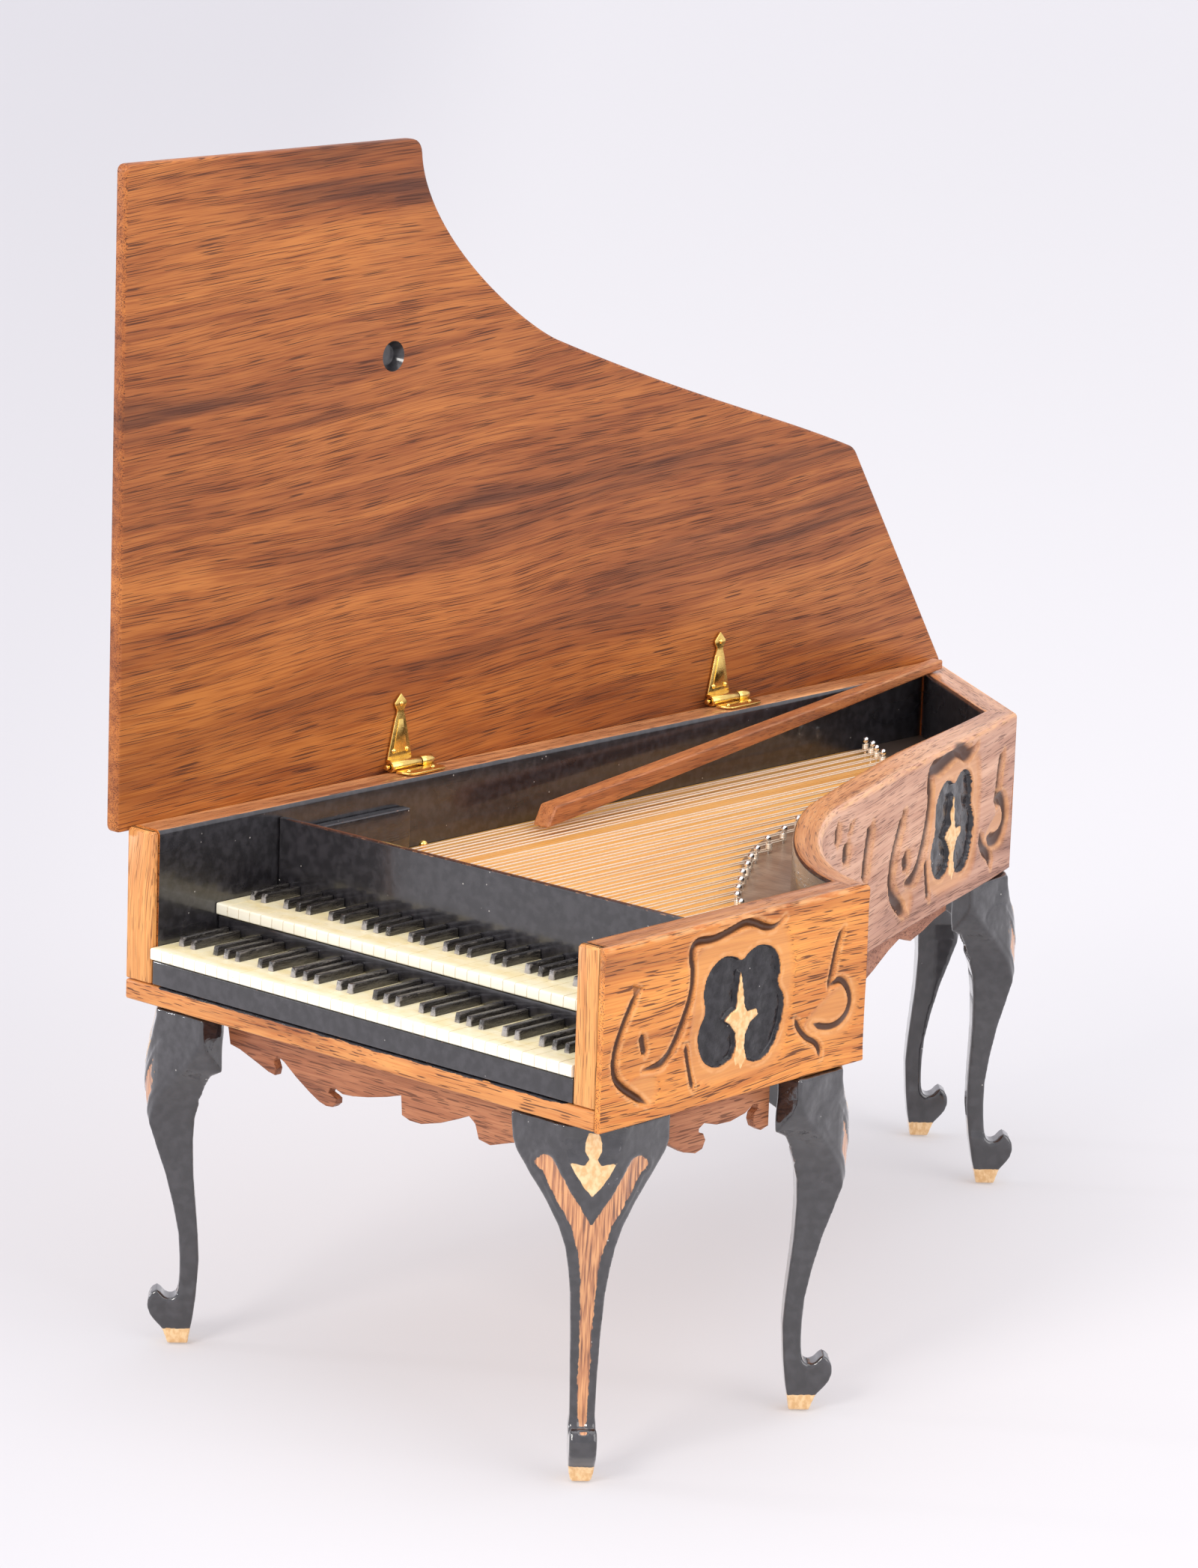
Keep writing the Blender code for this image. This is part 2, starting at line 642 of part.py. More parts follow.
# Hitch-pin plate: a band inside the bentside, hollowed near the cheek corner
plate_near = outline(bent=inside_bent(GAP))[FIRST_BENT:LAST_BENT + 1]
plate_far = outline(bent=PLATE_SETBACK)[FIRST_BENT:LAST_BENT + 1]
plate_plan = plate_near[3:-3] + plate_far[3:-3][::-1]
hollow = cylinder(HOLLOW_RADIUS, (*HOLLOW_CENTRE, PLATE_BOTTOM - 1 * MM),
                  (*HOLLOW_CENTRE, PLATE_TOP + 1 * MM), sides=40)
plate = combined(board([plate_plan], PLATE_BOTTOM, PLATE_TOP), hollow, "DIFFERENCE")
finish_part("hitch_pin_plate", plate, ((0.33, 0.20, 0.11), 0.5, 0.0))

BRASS = ((0.86, 0.56, 0.16), 0.2, 1.0)
bead_profile = [(0, 2 * BEAD_RADIUS)]
bead_profile += [(BEAD_RADIUS * math.cos(math.radians(a)),
                  BEAD_RADIUS * (1 + math.sin(math.radians(a)))) for a in (45, 0, -45)]
bead_profile += [(0.2 * MM, 0), (0, 0)]
finish_part("brass_bead",
            turned(bead_profile, (*BEAD_PLACE, CASE_BOTTOM + SOUNDBOARD_TOP + GAP)),
            BRASS)


# ---------------------------------------------------------------- aprons

def apron_side(length, left_skirt, right_skirt):
    """Hanging edge of an apron, drawn as (along, down) in millimetres, then to scale."""
    shape = [(0, 0), (0, -3.0), (1.5, -3.2), (5, -4.2), (11.2, -6.0), (11.4, -3.4)]
    shape += [(16.0, -5.6), (20.4, -7.2)]
    shape += arc((21.6, -6.3), 1.2, -110, 60, 5)
    shape += [(21.2, -5.3), (20.6, -5.0), (21.4, -4.4), (23.5, -4.9), (27.5, -4.7)]
    shape += [(32.0, -3.6), (31.8, -5.7), (34.5, -6.1), (39.0, -4.8), (42.8, -3.6)]
    shape += [(44.4, -5.9), (47.0, -6.2), (52.0, -4.6), (54.0, -3.0), (54.0, 0)]
    usable = [p for p in shape if left_skirt <= p[0] <= right_skirt]
    low, high = left_skirt, right_skirt
    edge = [((x - low) / (high - low) * length, y * MM) for x, y in usable]
    if edge[0][1] < 0:
        edge.insert(0, (0.0, 0.0))
    if edge[-1][1] < 0:
        edge.append((length, 0.0))
    return edge


def straight_apron(name, ends, low, high, along_y=False):
    start, stop = ends
    edge = apron_side(stop - start, low, high)
    top = CASE_BOTTOM - GAP
    points = [(start + x, top + y) for x, y in edge]
    if along_y:
        back = CASE_WIDTH - APRON_INSET - APRON_THICKNESS
        shape = board([points], back, back + APRON_THICKNESS, SIDE)
    else:
        shape = board([points], -APRON_INSET - APRON_THICKNESS, -APRON_INSET, FRONT)
    finish_part(name, shape, walnut_look)


straight_apron("front_apron", FRONT_APRON, 0, 54)
straight_apron("cheek_apron", CHEEK_APRON, 11.35, 32.1, along_y=True)


def curved_apron():
    """Apron that follows the bentside: the hanging edge cut from a bent board."""
    outer = outline(bent=APRON_INSET)[FIRST_BENT:LAST_BENT + 1]
    inner = outline(bent=APRON_INSET + APRON_THICKNESS)[FIRST_BENT:LAST_BENT + 1]
    strip = outer[4:-3] + inner[4:-3][::-1]
    depth = 7.6 * MM
    shape = board([strip], CASE_BOTTOM - GAP - depth, CASE_BOTTOM - GAP)
    start, stop = outer[4].y, outer[-4].y
    edge = apron_side(stop - start, 0, 54)
    waste = [(start + x, CASE_BOTTOM - GAP + y) for x, y in edge if y < 0]
    waste = [(start - 5 * MM, waste[0][1])] + waste + [(stop + 5 * MM, waste[-1][1])]
    floor = CASE_BOTTOM - GAP - depth - 2 * MM
    waste += [(stop + 5 * MM, floor), (start - 5 * MM, floor)]
    cutter = board([waste], 0, CASE_WIDTH, SIDE)
    finish_part("bentside_apron", combined(shape, cutter, "DIFFERENCE"), walnut_look)


curved_apron()


# ---------------------------------------------------------------- legs

def leg_side():
    """Side view of a leg, (outward, height): sole, scroll toe, ankle, knee and back."""
    front = [(1.25, 0), (1.9, 1.9), (3.3, 3.4)]
    front += arc((2.55, 5.1), 1.1, -20, 150, 6)
    front += [(1.15, 5.7), (0.5, 5.75), (0.0, 6.3), (-0.12, 7.6), (-0.12, 10.5)]
    front += [(0.1, 13.9), (0.76, 17.3), (1.75, 21.3), (2.85, 24.7), (3.8, 27.4)]
    front += [(4.45, 30.8), (4.5, 34.2), (4.15, 36.9), (3.6, 39.3), (3.2, 42.6)]
    back = [(-9.5, 42.6), (-9.5, 36.5), (-5.0, 35.6), (-3.0, 34.6), (-2.6, 33.0)]
    back += [(-2.1, 31.0), (-1.55, 28.8), (-1.4, 25.7), (-1.55, 21.3), (-1.9, 17.3)]
    back += [(-2.2, 13.9), (-2.4, 10.5), (-2.1, 6.1), (-1.55, 2.4), (-1.2, 0)]
    return [(x * MM, z * MM) for x, z in front + back]


def leg_front():
    """Half of the view along the diagonal, (half width, height), mirrored."""
    half = [(1.2, 0), (1.5, 1.9), (1.58, 3), (1.58, 6.4), (1.45, 7.4), (1.5, 11), (1.7, 17)]
    half += [(1.98, 22.5), (2.35, 25.6), (2.8, 28.4), (3.6, 30.7), (4.9, 33.1), (6.1, 34.9)]
    half += [(7.0, 36.1), (8.3, 38.2), (8.85, 39.6), (9.0, 41.0), (9.0, 42.6)]
    right = [(w * MM, z * MM) for w, z in half]
    return right + [(-w, z) for w, z in reversed(right)]


def leg_nose():
    """Rounded corner of the knee in plan, (outward, sideways)."""
    centre = KNEE_CORNER - KNEE_RADIUS * math.sqrt(2)
    return arc((centre, 0), KNEE_RADIUS, -45, 45, 6)


def leg_plan():
    """Plan of the knee and its two ears, (outward, sideways), with a rounded corner."""
    corner = KNEE_CORNER
    ear = EAR_LENGTH / math.sqrt(2)
    nose = leg_nose()
    thick = EAR_THICKNESS * math.sqrt(2)
    step = EAR_THICKNESS / math.sqrt(2)
    return (nose + [(corner - ear, ear), (corner - ear - step, ear - step),
                    (corner - thick - 1.4 * MM, 1.4 * MM), (corner - thick - 1.4 * MM, -1.4 * MM),
                    (corner - ear - step, step - ear), (corner - ear, -ear)])


def shank_plan():
    """Plan of the leg below the knee: the same rounded corner in front, square behind."""
    return leg_nose() + [(0, KNEE_CORNER), (-KNEE_CORNER, KNEE_CORNER),
                         (-KNEE_CORNER, -KNEE_CORNER), (0, -KNEE_CORNER)]


def leg_mesh():
    """Cabriole leg sawn from three sides: side view, diagonal view and plan."""
    reach = 12 * MM
    side = board([leg_side()], -reach, reach, FRONT)
    face = board([leg_front()], -reach, reach, SIDE)
    shape = combined(side, face, "INTERSECT")
    knee_and_ears = board([leg_plan()], KNEE_BOTTOM, LEG_HEIGHT + 1 * MM)
    shank = board([shank_plan()], -1 * MM, KNEE_BOTTOM + 0.7 * MM)
    keep = combined(knee_and_ears, shank, "UNION")
    return combined(shape, keep, "INTERSECT")


for name, (x, y, heading, lean) in LEGS.items():
    shape = leg_mesh()
    shape.transform(Matrix.Translation((x, y, 0)) @ Matrix.Rotation(math.radians(heading), 4, "Z"))
    for vert in shape.vertices:
        vert.co.x += lean * (1 - vert.co.z / LEG_HEIGHT)
    finish_part(name, shape, black_look)


# ---------------------------------------------------------------- lid and hinges

OPEN = (Matrix.Translation(lid_axis.location) @ Matrix.Rotation(math.radians(-90), 4, "Y")
        @ Matrix.Translation(-lid_axis.location))
LID_FACE = AXIS_Z + AXIS_X + CLEARANCE       # underside of the shut lid
LID_SPINE = LID_DROP + AXIS_Z - RIM - AXIS_X # the shut lid's overhang past the spine

lid_plan = outline(front=-LID_FRONT, cheek=-LID_OVERHANG, bent=-LID_OVERHANG,
                   tail=-LID_TAIL, spine=-LID_SPINE)
for corner, radius in ((SPINE_END, 1.0), (LAST_BENT, 1.2), (FIRST_BENT, 1.8), (1, 0.8), (0, 0.8)):
    lid_plan = filleted(lid_plan, corner, radius * MM)
lid = board([lid_plan], LID_FACE, LID_FACE + LID_THICKNESS)
prop_hole = cylinder(LID_HOLE_RADIUS, (*LID_HOLE, LID_FACE - 1 * MM),
                     (*LID_HOLE, LID_FACE + LID_HOLE_DEPTH), sides=20)
lid = combined(lid, prop_hole, "DIFFERENCE")
lid.transform(OPEN)
hole_z = LID_HOLE[0] - AXIS_X + AXIS_Z


def lid_edge(point):
    away = math.hypot(point.y - LID_HOLE[1], point.z - hole_z)
    return away > 2 * LID_HOLE_RADIUS


lid = finish_part("lid", lid, walnut_look, lid_axis)
rounded(lid, 0.35 * MM, 2, lid_edge)

leaf_z = AXIS_Z - KNUCKLE_RADIUS
shelf_z = AXIS_Z + KNUCKLE_RADIUS
strap_x = -CLEARANCE + GAP


def knuckle_ring(low, high):
    ring = [arc((AXIS_X, AXIS_Z), KNUCKLE_RADIUS, 0, 345, 23)]
    shape = board(ring, -high, -low, FRONT)
    bore = cylinder(KNUCKLE_BORE, (AXIS_X, low - 1 * MM, AXIS_Z),
                    (AXIS_X, high + 1 * MM, AXIS_Z), axis="Y", sides=24)
    return shape, bore


def strap_outline(y):
    """Arrow-tipped strap on the lid, (y, z)."""
    base = shelf_z - 0.05 * MM
    half = [(2.15, 0), (2.0, 0.6), (0.85, 5.2), (0.75, 5.8), (1.05, 6.7), (0, 8.2)]
    right = [(y + w * MM, base + h * MM) for w, h in half]
    left = [(y - w * MM, base + h * MM) for w, h in half[:-1]]
    return right + left[::-1]


nail_profile = [(0, NAIL_HEIGHT), (0.7 * NAIL_RADIUS, 0.75 * NAIL_HEIGHT),
                (NAIL_RADIUS, 0.25 * NAIL_HEIGHT), (NAIL_RADIUS, 0), (0, 0)]
for label, y in zip(("front", "rear"), HINGE_Y):
    low = y - 2.6 * MM
    high = low + STRAP_KNUCKLE
    knuckle, bore = knuckle_ring(low, high)
    strap = board([strap_outline(y)], strap_x, strap_x + LEAF, SIDE)
    shelf = box((strap_x, low + 0.45 * MM, shelf_z - LEAF), (AXIS_X, high - 0.45 * MM, shelf_z))
    strap = combined(strap, shelf, "UNION")
    strap = combined(strap, knuckle, "UNION")
    strap = combined(strap, bore, "DIFFERENCE")
    finish_part(f"{label}_hinge_strap", strap, BRASS, lid_axis)

    leaf_low = high + 0.15 * MM
    leaf_high = leaf_low + LEAF_KNUCKLE
    knuckle, bore = knuckle_ring(leaf_low, leaf_high)
    edge = AXIS_X + KNUCKLE_RADIUS + 0.15 * MM
    inside = WALL - 0.3 * MM
    leaf_plan = [(AXIS_X, leaf_low), (edge, leaf_low), (edge, low + 0.3 * MM),
                 (inside, low + 0.8 * MM), (inside, leaf_high - 0.5 * MM), (edge, leaf_high),
                 (AXIS_X, leaf_high)]
    leaf = board([leaf_plan], leaf_z, leaf_z + LEAF)
    leaf = combined(combined(leaf, knuckle, "UNION"), bore, "DIFFERENCE")
    finish_part(f"{label}_hinge_leaf", leaf, BRASS)

    pin = cylinder(HINGE_PIN_RADIUS, (AXIS_X, low - 0.8 * MM, AXIS_Z),
                   (AXIS_X, leaf_high + 0.5 * MM, AXIS_Z), axis="Y", sides=12)
    finish_part(f"{label}_hinge_pin", pin, BRASS)

    strap_face = strap_x + LEAF + GAP
    for number, (side, up) in enumerate(STRAP_NAILS, start=1):
        nail = turned(nail_profile, (0, 0, 0))
        nail.transform(Matrix.Translation((strap_face, y + side * MM, shelf_z + up * MM))
                       @ Matrix.Rotation(math.radians(90), 4, "Y"))
        finish_part(f"{label}_strap_nail_{number}", nail, BRASS, lid_axis)
    for number, along in enumerate(LEAF_NAILS, start=1):
        nail = turned(nail_profile, (LEAF_NAIL_X, low + along * MM, leaf_z + LEAF + GAP))
        finish_part(f"{label}_leaf_nail_{number}", nail, BRASS)


# ---------------------------------------------------------------- prop stick

def stick_mesh():
    """Tapered square stick: its thick end on the strings, its thin end on the tail's rim."""
    near_z = STRING_Z + STRING_RADIUS + CLEARANCE
    far_z = RIM + CLEARANCE + STICK_RISE
    near, far = Vector((*STICK_NEAR, near_z)), Vector((*STICK_FAR, far_z))
    sideways = Vector((near - far)).cross(Vector((0, 0, 1))).normalized()
    bm = bmesh.new()
    bmesh.ops.create_cube(bm, size=1.0)
    for vert in bm.verts:
        at_far = vert.co.y > 0
        width, depth = STICK_FAR_SIZE if at_far else STICK_NEAR_SIZE
        side, up = vert.co.x, vert.co.z + 0.5
        end = far if at_far else near
        slope = 0.0 if at_far else (up - 0.3) * STICK_LEAN
        vert.co = end + sideways * side * width + Vector((0, slope, up * depth))
    return mesh_from(bm)


stick = finish_part("prop_stick", stick_mesh(), walnut_look, stick_origin)
rounded(stick, 0.2 * MM, 1, lambda point: True)

case_origin.location = (-CENTRE_X, -CENTRE_Y, 0)
bpy.context.view_layer.update()
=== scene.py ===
"""Looks of the miniature harpsichord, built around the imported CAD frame.

Shapes are worked out in millimetres from the front left corner of the case at floor
level (+X to the cheek, +Y to the tail, +Z up) and are moved into the frame at the end.
"""

import json
import math

import bmesh
import bpy
import numpy as np
from mathutils import Matrix, Vector


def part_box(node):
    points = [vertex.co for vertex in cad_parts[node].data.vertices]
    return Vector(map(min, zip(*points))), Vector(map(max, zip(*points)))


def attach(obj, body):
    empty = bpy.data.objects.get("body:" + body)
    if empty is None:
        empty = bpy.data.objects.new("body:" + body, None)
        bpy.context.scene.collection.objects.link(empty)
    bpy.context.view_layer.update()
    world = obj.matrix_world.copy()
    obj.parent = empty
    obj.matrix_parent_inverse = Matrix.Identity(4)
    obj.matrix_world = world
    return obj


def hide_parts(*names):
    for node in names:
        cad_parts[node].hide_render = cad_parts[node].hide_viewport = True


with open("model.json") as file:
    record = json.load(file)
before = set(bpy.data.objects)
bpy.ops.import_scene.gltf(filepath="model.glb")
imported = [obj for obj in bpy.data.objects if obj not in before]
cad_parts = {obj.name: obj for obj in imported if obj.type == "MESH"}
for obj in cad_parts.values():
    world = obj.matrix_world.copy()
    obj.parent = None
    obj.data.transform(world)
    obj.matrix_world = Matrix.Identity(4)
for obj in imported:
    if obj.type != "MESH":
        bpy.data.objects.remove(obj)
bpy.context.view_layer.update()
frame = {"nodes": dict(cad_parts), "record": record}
NODES = frame["nodes"]
BODY_OF = {node: body for body, members in frame["record"]["behaviour"]["bodies"].items()
           for node in members}
HINGE = next(j for j in frame["record"]["behaviour"]["joints"] if j["name"] == "lid_hinge")

MM = 0.001
base_low, base_high = (np.array(corner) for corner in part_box("base_board"))
ORIGIN = np.array([base_low[0], base_low[1], 0.0])


def plan_box(node):
    """A node's lowest and highest corners in millimetres of the plan."""
    low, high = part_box(node)
    return (np.array(low) - ORIGIN) / MM, (np.array(high) - ORIGIN) / MM


BOTTOM = base_low[2] / MM                     # underside of the case
BASE_TOP = base_high[2] / MM
RIM = plan_box("spine_wall")[1][2]
WIDTH = plan_box("cheek_wall")[1][0]
CHEEK = plan_box("cheek_wall")[1][1]
LENGTH = plan_box("spine_wall")[1][1]
WALL = plan_box("spine_wall")[1][0]
TAIL = np.array([29.0, 133.8])                # where the bentside meets the tail
SKIN = 0.9                                    # of a wall where it laps the base
SEAT = 1.12                                   # the cheek is thin in front of this
AXIS_X, _, AXIS_Z = (np.array(HINGE["pos_m"]) - ORIGIN) / MM
rng = np.random.default_rng(7)


# ---- node helpers

class Tree:
    """A new material's node tree. Values may be numbers, tuples or other nodes' outputs."""

    def __init__(self, name):
        self.mat = bpy.data.materials.new(name)
        self.mat.use_nodes = True
        self.nodes = self.mat.node_tree.nodes
        self.links = self.mat.node_tree.links
        self.shader = self.nodes["Principled BSDF"]

    def set(self, **values):
        for key, value in values.items():
            self.shader.inputs[key.replace("_", " ")].default_value = value

    def put(self, node, socket, value):
        if isinstance(value, bpy.types.NodeSocket):
            self.links.new(value, node.inputs[socket])
        else:
            node.inputs[socket].default_value = value

    def node(self, kind, output, inputs, **settings):
        """Output of a new node, its inputs linked or set."""
        node = self.nodes.new("ShaderNode" + kind)
        for key, value in settings.items():
            setattr(node, key, value)
        for socket, value in inputs.items():
            self.put(node, socket, value)
        return node.outputs[output]

    def attr(self, name, output="Fac"):
        return self.node("Attribute", output, {}, attribute_name=name)

    def scaled(self, vector, scale, shift=(0, 0, 0), turn=(0, 0, 0)):
        return self.node("Mapping", "Vector", {"Vector": vector, "Scale": scale,
                                               "Location": shift, "Rotation": turn})

    def noise(self, vector, scale, detail=2.0, rough=0.5, shift=(0, 0, 0), turn=(0, 0, 0)):
        at = self.scaled(vector, scale, shift, turn)
        return self.node("TexNoise", "Fac", {"Vector": at, "Scale": 1.0, "Detail": detail,
                                             "Roughness": rough})

    def ramp(self, value, low, high, a=0.0, b=1.0):
        """Smooth step of a value from a to b between low and high."""
        return self.node("MapRange", "Result", {"Value": value, "From Min": low, "From Max": high,
                                                "To Min": a, "To Max": b},
                         interpolation_type="SMOOTHSTEP")

    def mul(self, a, b):
        return self.node("Math", 0, {0: a, 1: b}, operation="MULTIPLY")

    def add(self, a, b):
        return self.node("Math", 0, {0: a, 1: b}, operation="ADD")

    def mask(self, name, stray, low, high):
        """Smooth step of an attribute whose edge strays by the given amount."""
        return self.ramp(self.add(self.attr(name), stray), low, high)

    def mix(self, factor, a, b, blend="MIX"):
        a, b = ((*value, 1.0) if isinstance(value, tuple) else value for value in (a, b))
        return self.node("Mix", 2, {0: factor, 6: a, 7: b}, data_type="RGBA", blend_type=blend)

    def colours(self, value, stops):
        node = self.nodes.new("ShaderNodeValToRGB")
        self.put(node, "Fac", value)
        ramp = node.color_ramp
        while len(ramp.elements) < len(stops):
            ramp.elements.new(0.5)
        for element, (place, colour) in zip(ramp.elements, stops):
            element.position = place
            element.color = (*colour, 1.0)
        return node.outputs["Color"]

    def out(self, colour, roughness, metallic=None, bumps=()):
        """The finished material. A bump is a height, a distance in millimetres and a strength."""
        self.put(self.shader, "Base Color", colour)
        self.put(self.shader, "Roughness", roughness)
        if metallic is not None:
            self.put(self.shader, "Metallic", metallic)
        normal = {}
        for height, distance, strength in bumps:
            normal = {"Normal": self.node("Bump", "Normal", {
                "Height": height, "Distance": distance * MM, "Strength": strength, **normal})}
        for socket, value in normal.items():
            self.put(self.shader, socket, value)
        return self.mat


# ---- materials

def paint_layer(t, coat):
    """Colour, roughness and height of thick black gloss paint with dust."""
    lumps = t.noise(coat, (0.9, 0.9, 0.9), 3.0)
    colour = t.mix(t.ramp(lumps, 0.35, 0.7), (0.012, 0.011, 0.013), (0.030, 0.028, 0.032))
    specks = t.node("TexVoronoi", "Distance", {"Vector": t.scaled(coat, (0.55, 0.55, 0.55)),
                                               "Scale": 1.0})
    pick = t.noise(coat, (0.8, 0.8, 0.8), 0.0, shift=(9, 4, 1))
    dust = t.mul(t.ramp(specks, 0.075, 0.03), t.ramp(pick, 0.52, 0.6))
    haze = t.noise(coat, (0.06, 0.16, 0.16), shift=(3, 8, 2))
    colour = t.mix(t.mul(dust, 0.75), colour, (0.55, 0.52, 0.48))
    roughness = t.add(t.ramp(haze, 0.35, 0.7, 0.19, 0.26), t.mul(dust, 0.3))
    return colour, roughness, lumps


def walnut(name, light=(0.86, 0.355, 0.075), mid=(0.62, 0.225, 0.048),
           dark=(0.300, 0.095, 0.028), pores=1.0, gloss=0.40, carved=False, painted=False,
           fine=1.0, lines=0.34, reach=0.30, sway=6.0, coat=0.08):
    """Oiled walnut: broad figure, long bands, and short dark pores along the grain."""
    t = Tree(name)
    grain = t.attr("grain", "Vector")
    bend = t.noise(grain, (0.02, 0.07, 0.07), 1.0)
    sideways = t.node("CombineXYZ", 0, {"Y": t.mul(bend, sway)})
    waved = t.node("VectorMath", 0, {0: grain, 1: sideways})
    figure = t.noise(waved, (0.014, 0.13, 0.13), 3.0)
    bands = t.noise(waved, (0.03, 0.75, 0.75), 3.0, 0.55)
    blend = t.add(t.mul(figure, 0.62), t.mul(bands, 0.38))
    colour = t.colours(blend, [(0.33, dark), (0.47, mid), (0.61, light)])
    hairs = t.noise(waved, (0.09 * fine, 5.0 * fine, 5.0 * fine))
    colour = t.mix(t.ramp(hairs, 0.42, 0.66, 0.0, lines), colour, mid, "MULTIPLY")
    fleck = t.noise(waved, (reach, 7.0 * fine, 7.0 * fine), 0.0, shift=(5, 3, 7))
    density = t.ramp(bands, 0.30, 0.70, 0.06, -0.05)
    streak = t.mul(t.ramp(t.add(fleck, density), 0.62, 0.70), pores)
    if carved:
        streak = t.mul(streak, t.ramp(t.attr("plain"), 0.1, 0.8, 1.0, 0.15))
    colour = t.mix(t.mul(streak, 0.85), colour, (0.075, 0.022, 0.010))
    smudge = t.noise(grain, (0.10, 0.14, 0.14), shift=(2, 9, 4))
    colour = t.mix(t.ramp(smudge, 0.38, 0.70, 0.0, 0.30), colour, (0.70, 0.55, 0.48), "MULTIPLY")
    rubbed = t.noise(grain, (0.4, 1.4, 1.4), 3.0)
    wear = t.mul(t.attr("edge"), t.ramp(rubbed, 0.35, 0.62))
    colour = t.mix(t.mul(wear, 0.6), colour, (0.80, 0.45, 0.20))
    roughness = t.add(t.ramp(bands, 0.3, 0.7, gloss + 0.06, gloss - 0.05), t.mul(streak, 0.2))
    metallic = None
    bumps = [(t.mul(streak, -1.0), 0.030, 0.7), (hairs, 0.008, 0.3),
             (smudge, 0.12, 0.25)]
    if carved:
        patchy_noise = t.noise(grain, (0.8, 0.8, 0.8), 3.0)
        colour = t.mix(t.mul(t.attr("plain"), 0.55), colour, (0.66, 0.30, 0.10))
        # Painted shade: the cores of the carved cuts are darkened to near black.
        deep = t.mask("cut", t.mul(patchy_noise, 0.2), 0.25, 0.75)
        colour = t.mix(t.mul(deep, 0.92), colour, (0.040, 0.014, 0.009))
        rub = t.mul(t.attr("lip"), t.ramp(patchy_noise, 0.35, 0.6))
        colour = t.mix(t.mul(rub, 0.5), colour, (0.85, 0.46, 0.20))
        roughness = t.add(roughness, t.mul(deep, -0.10))
        ragged = t.noise(grain, (1.3, 1.3, 1.3), shift=(4, 4, 4))
        rag = t.mul(t.add(ragged, -0.5), 0.18)
        black = t.mask("recess", rag, -0.06, 0.06)
        p_colour, p_rough, lumps = paint_layer(t, grain)
        colour = t.mix(black, colour, p_colour)
        roughness = t.mix(black, roughness, p_rough)
        gilt = t.mask("gilt", t.mul(rag, 0.6), -0.04, 0.04)
        g_colour = t.mix(t.ramp(ragged, 0.38, 0.66), (0.98, 0.66, 0.34), (0.82, 0.47, 0.19))
        colour = t.mix(gilt, colour, g_colour)
        roughness = t.mix(gilt, roughness, (0.42, 0.42, 0.42))
        metallic = t.mul(gilt, 0.35)
        bumps.append((t.mul(lumps, black), 0.30, 0.4))
        roughness = t.mix(black, roughness, (0.13, 0.13, 0.13))
    if painted:
        ragged = t.noise(grain, (0.35, 1.6, 1.6), 4.0, 0.6, shift=(1, 5, 8))
        rag = t.mul(t.add(ragged, -0.5), 1.3)
        black = t.mask("black", rag, -0.05, 0.05)
        p_colour, p_rough, _ = paint_layer(t, grain)
        colour = t.mix(black, colour, p_colour)
        roughness = t.mix(black, roughness, p_rough)
    t.set(Coat_Weight=coat, Coat_Roughness=0.22, Specular_IOR_Level=0.35)
    return t.out(colour, roughness, metallic, bumps)


def black_paint(name, wood=(0.30, 0.14, 0.06), lumpy=0.06, gloss=0.0):
    """Black gloss paint over wood, rubbed through where the edge attribute is high."""
    t = Tree(name)
    coat = t.attr("grain", "Vector")
    colour, roughness, lumps = paint_layer(t, coat)
    brush = t.noise(coat, (0.08, 3.0, 3.0))
    rub = t.noise(coat, (0.9, 2.2, 2.2), 4.0, 0.65, shift=(6, 6, 6))
    wear = t.mask("edge", t.mul(rub, 0.9), 1.22, 1.36)
    worn = t.mix(t.ramp(brush, 0.4, 0.65), wood, (0.14, 0.06, 0.03))
    colour = t.mix(wear, colour, worn)
    roughness = t.add(t.add(roughness, t.mul(wear, 0.2)), gloss)
    t.set(Coat_Weight=0.8, Coat_Roughness=0.10, Specular_IOR_Level=0.6)
    return t.out(colour, roughness, None, [(lumps, 0.35, lumpy), (brush, 0.02, 0.4)])


def leg_paint():
    """Leg: thick black gloss, a bare walnut inlay, a gilt arrow and a gilt tip."""
    t = Tree("leg_black_walnut_gilt")
    coat = t.attr("grain", "Vector")
    colour, roughness, lumps = paint_layer(t, coat)
    coarse = t.noise(coat, (0.55, 0.55, 0.55), 1.0, shift=(3, 1, 6))
    ragged = t.noise(coat, (1.2, 1.8, 1.8), 3.0, shift=(7, 2, 5))
    rag = t.mul(t.add(ragged, -0.5), 0.45)
    streaks = t.noise(coat, (0.22, 0.5, 4.2))
    wood = t.colours(streaks, [(0.32, (0.16, 0.055, 0.022)), (0.45, (0.44, 0.17, 0.062)),
                               (0.62, (0.70, 0.33, 0.13))])
    bare = t.mask("inlay", rag, -0.05, 0.06)
    colour = t.mix(bare, colour, wood)
    roughness = t.mix(bare, roughness, (0.42, 0.42, 0.42))
    chips = t.mask("edge", t.mul(ragged, 0.9), 1.30, 1.42)
    colour = t.mix(chips, colour, (0.55, 0.30, 0.13))
    gilt = t.mask("gilt", t.mul(rag, 0.6), -0.04, 0.04)
    leaf = t.mix(t.ramp(ragged, 0.36, 0.66), (0.98, 0.68, 0.36), (0.80, 0.48, 0.20))
    colour = t.mix(gilt, colour, leaf)
    roughness = t.mix(gilt, roughness, (0.40, 0.40, 0.40))
    t.set(Coat_Weight=1.0, Coat_Roughness=0.05, Specular_IOR_Level=0.7)
    high = t.attr("high")
    roughness = t.mul(roughness, t.ramp(high, 0.2, 0.8, 1.0, 0.35))
    smooth = t.ramp(high, 0.0, 1.0, 0.10, 0.7)
    return t.out(colour, roughness, t.mul(gilt, 0.45),
                 [(t.mul(lumps, smooth), 0.30, 0.5),
                  (t.mul(coarse, smooth), 0.9, 0.4), (ragged, 0.02, 0.2)])


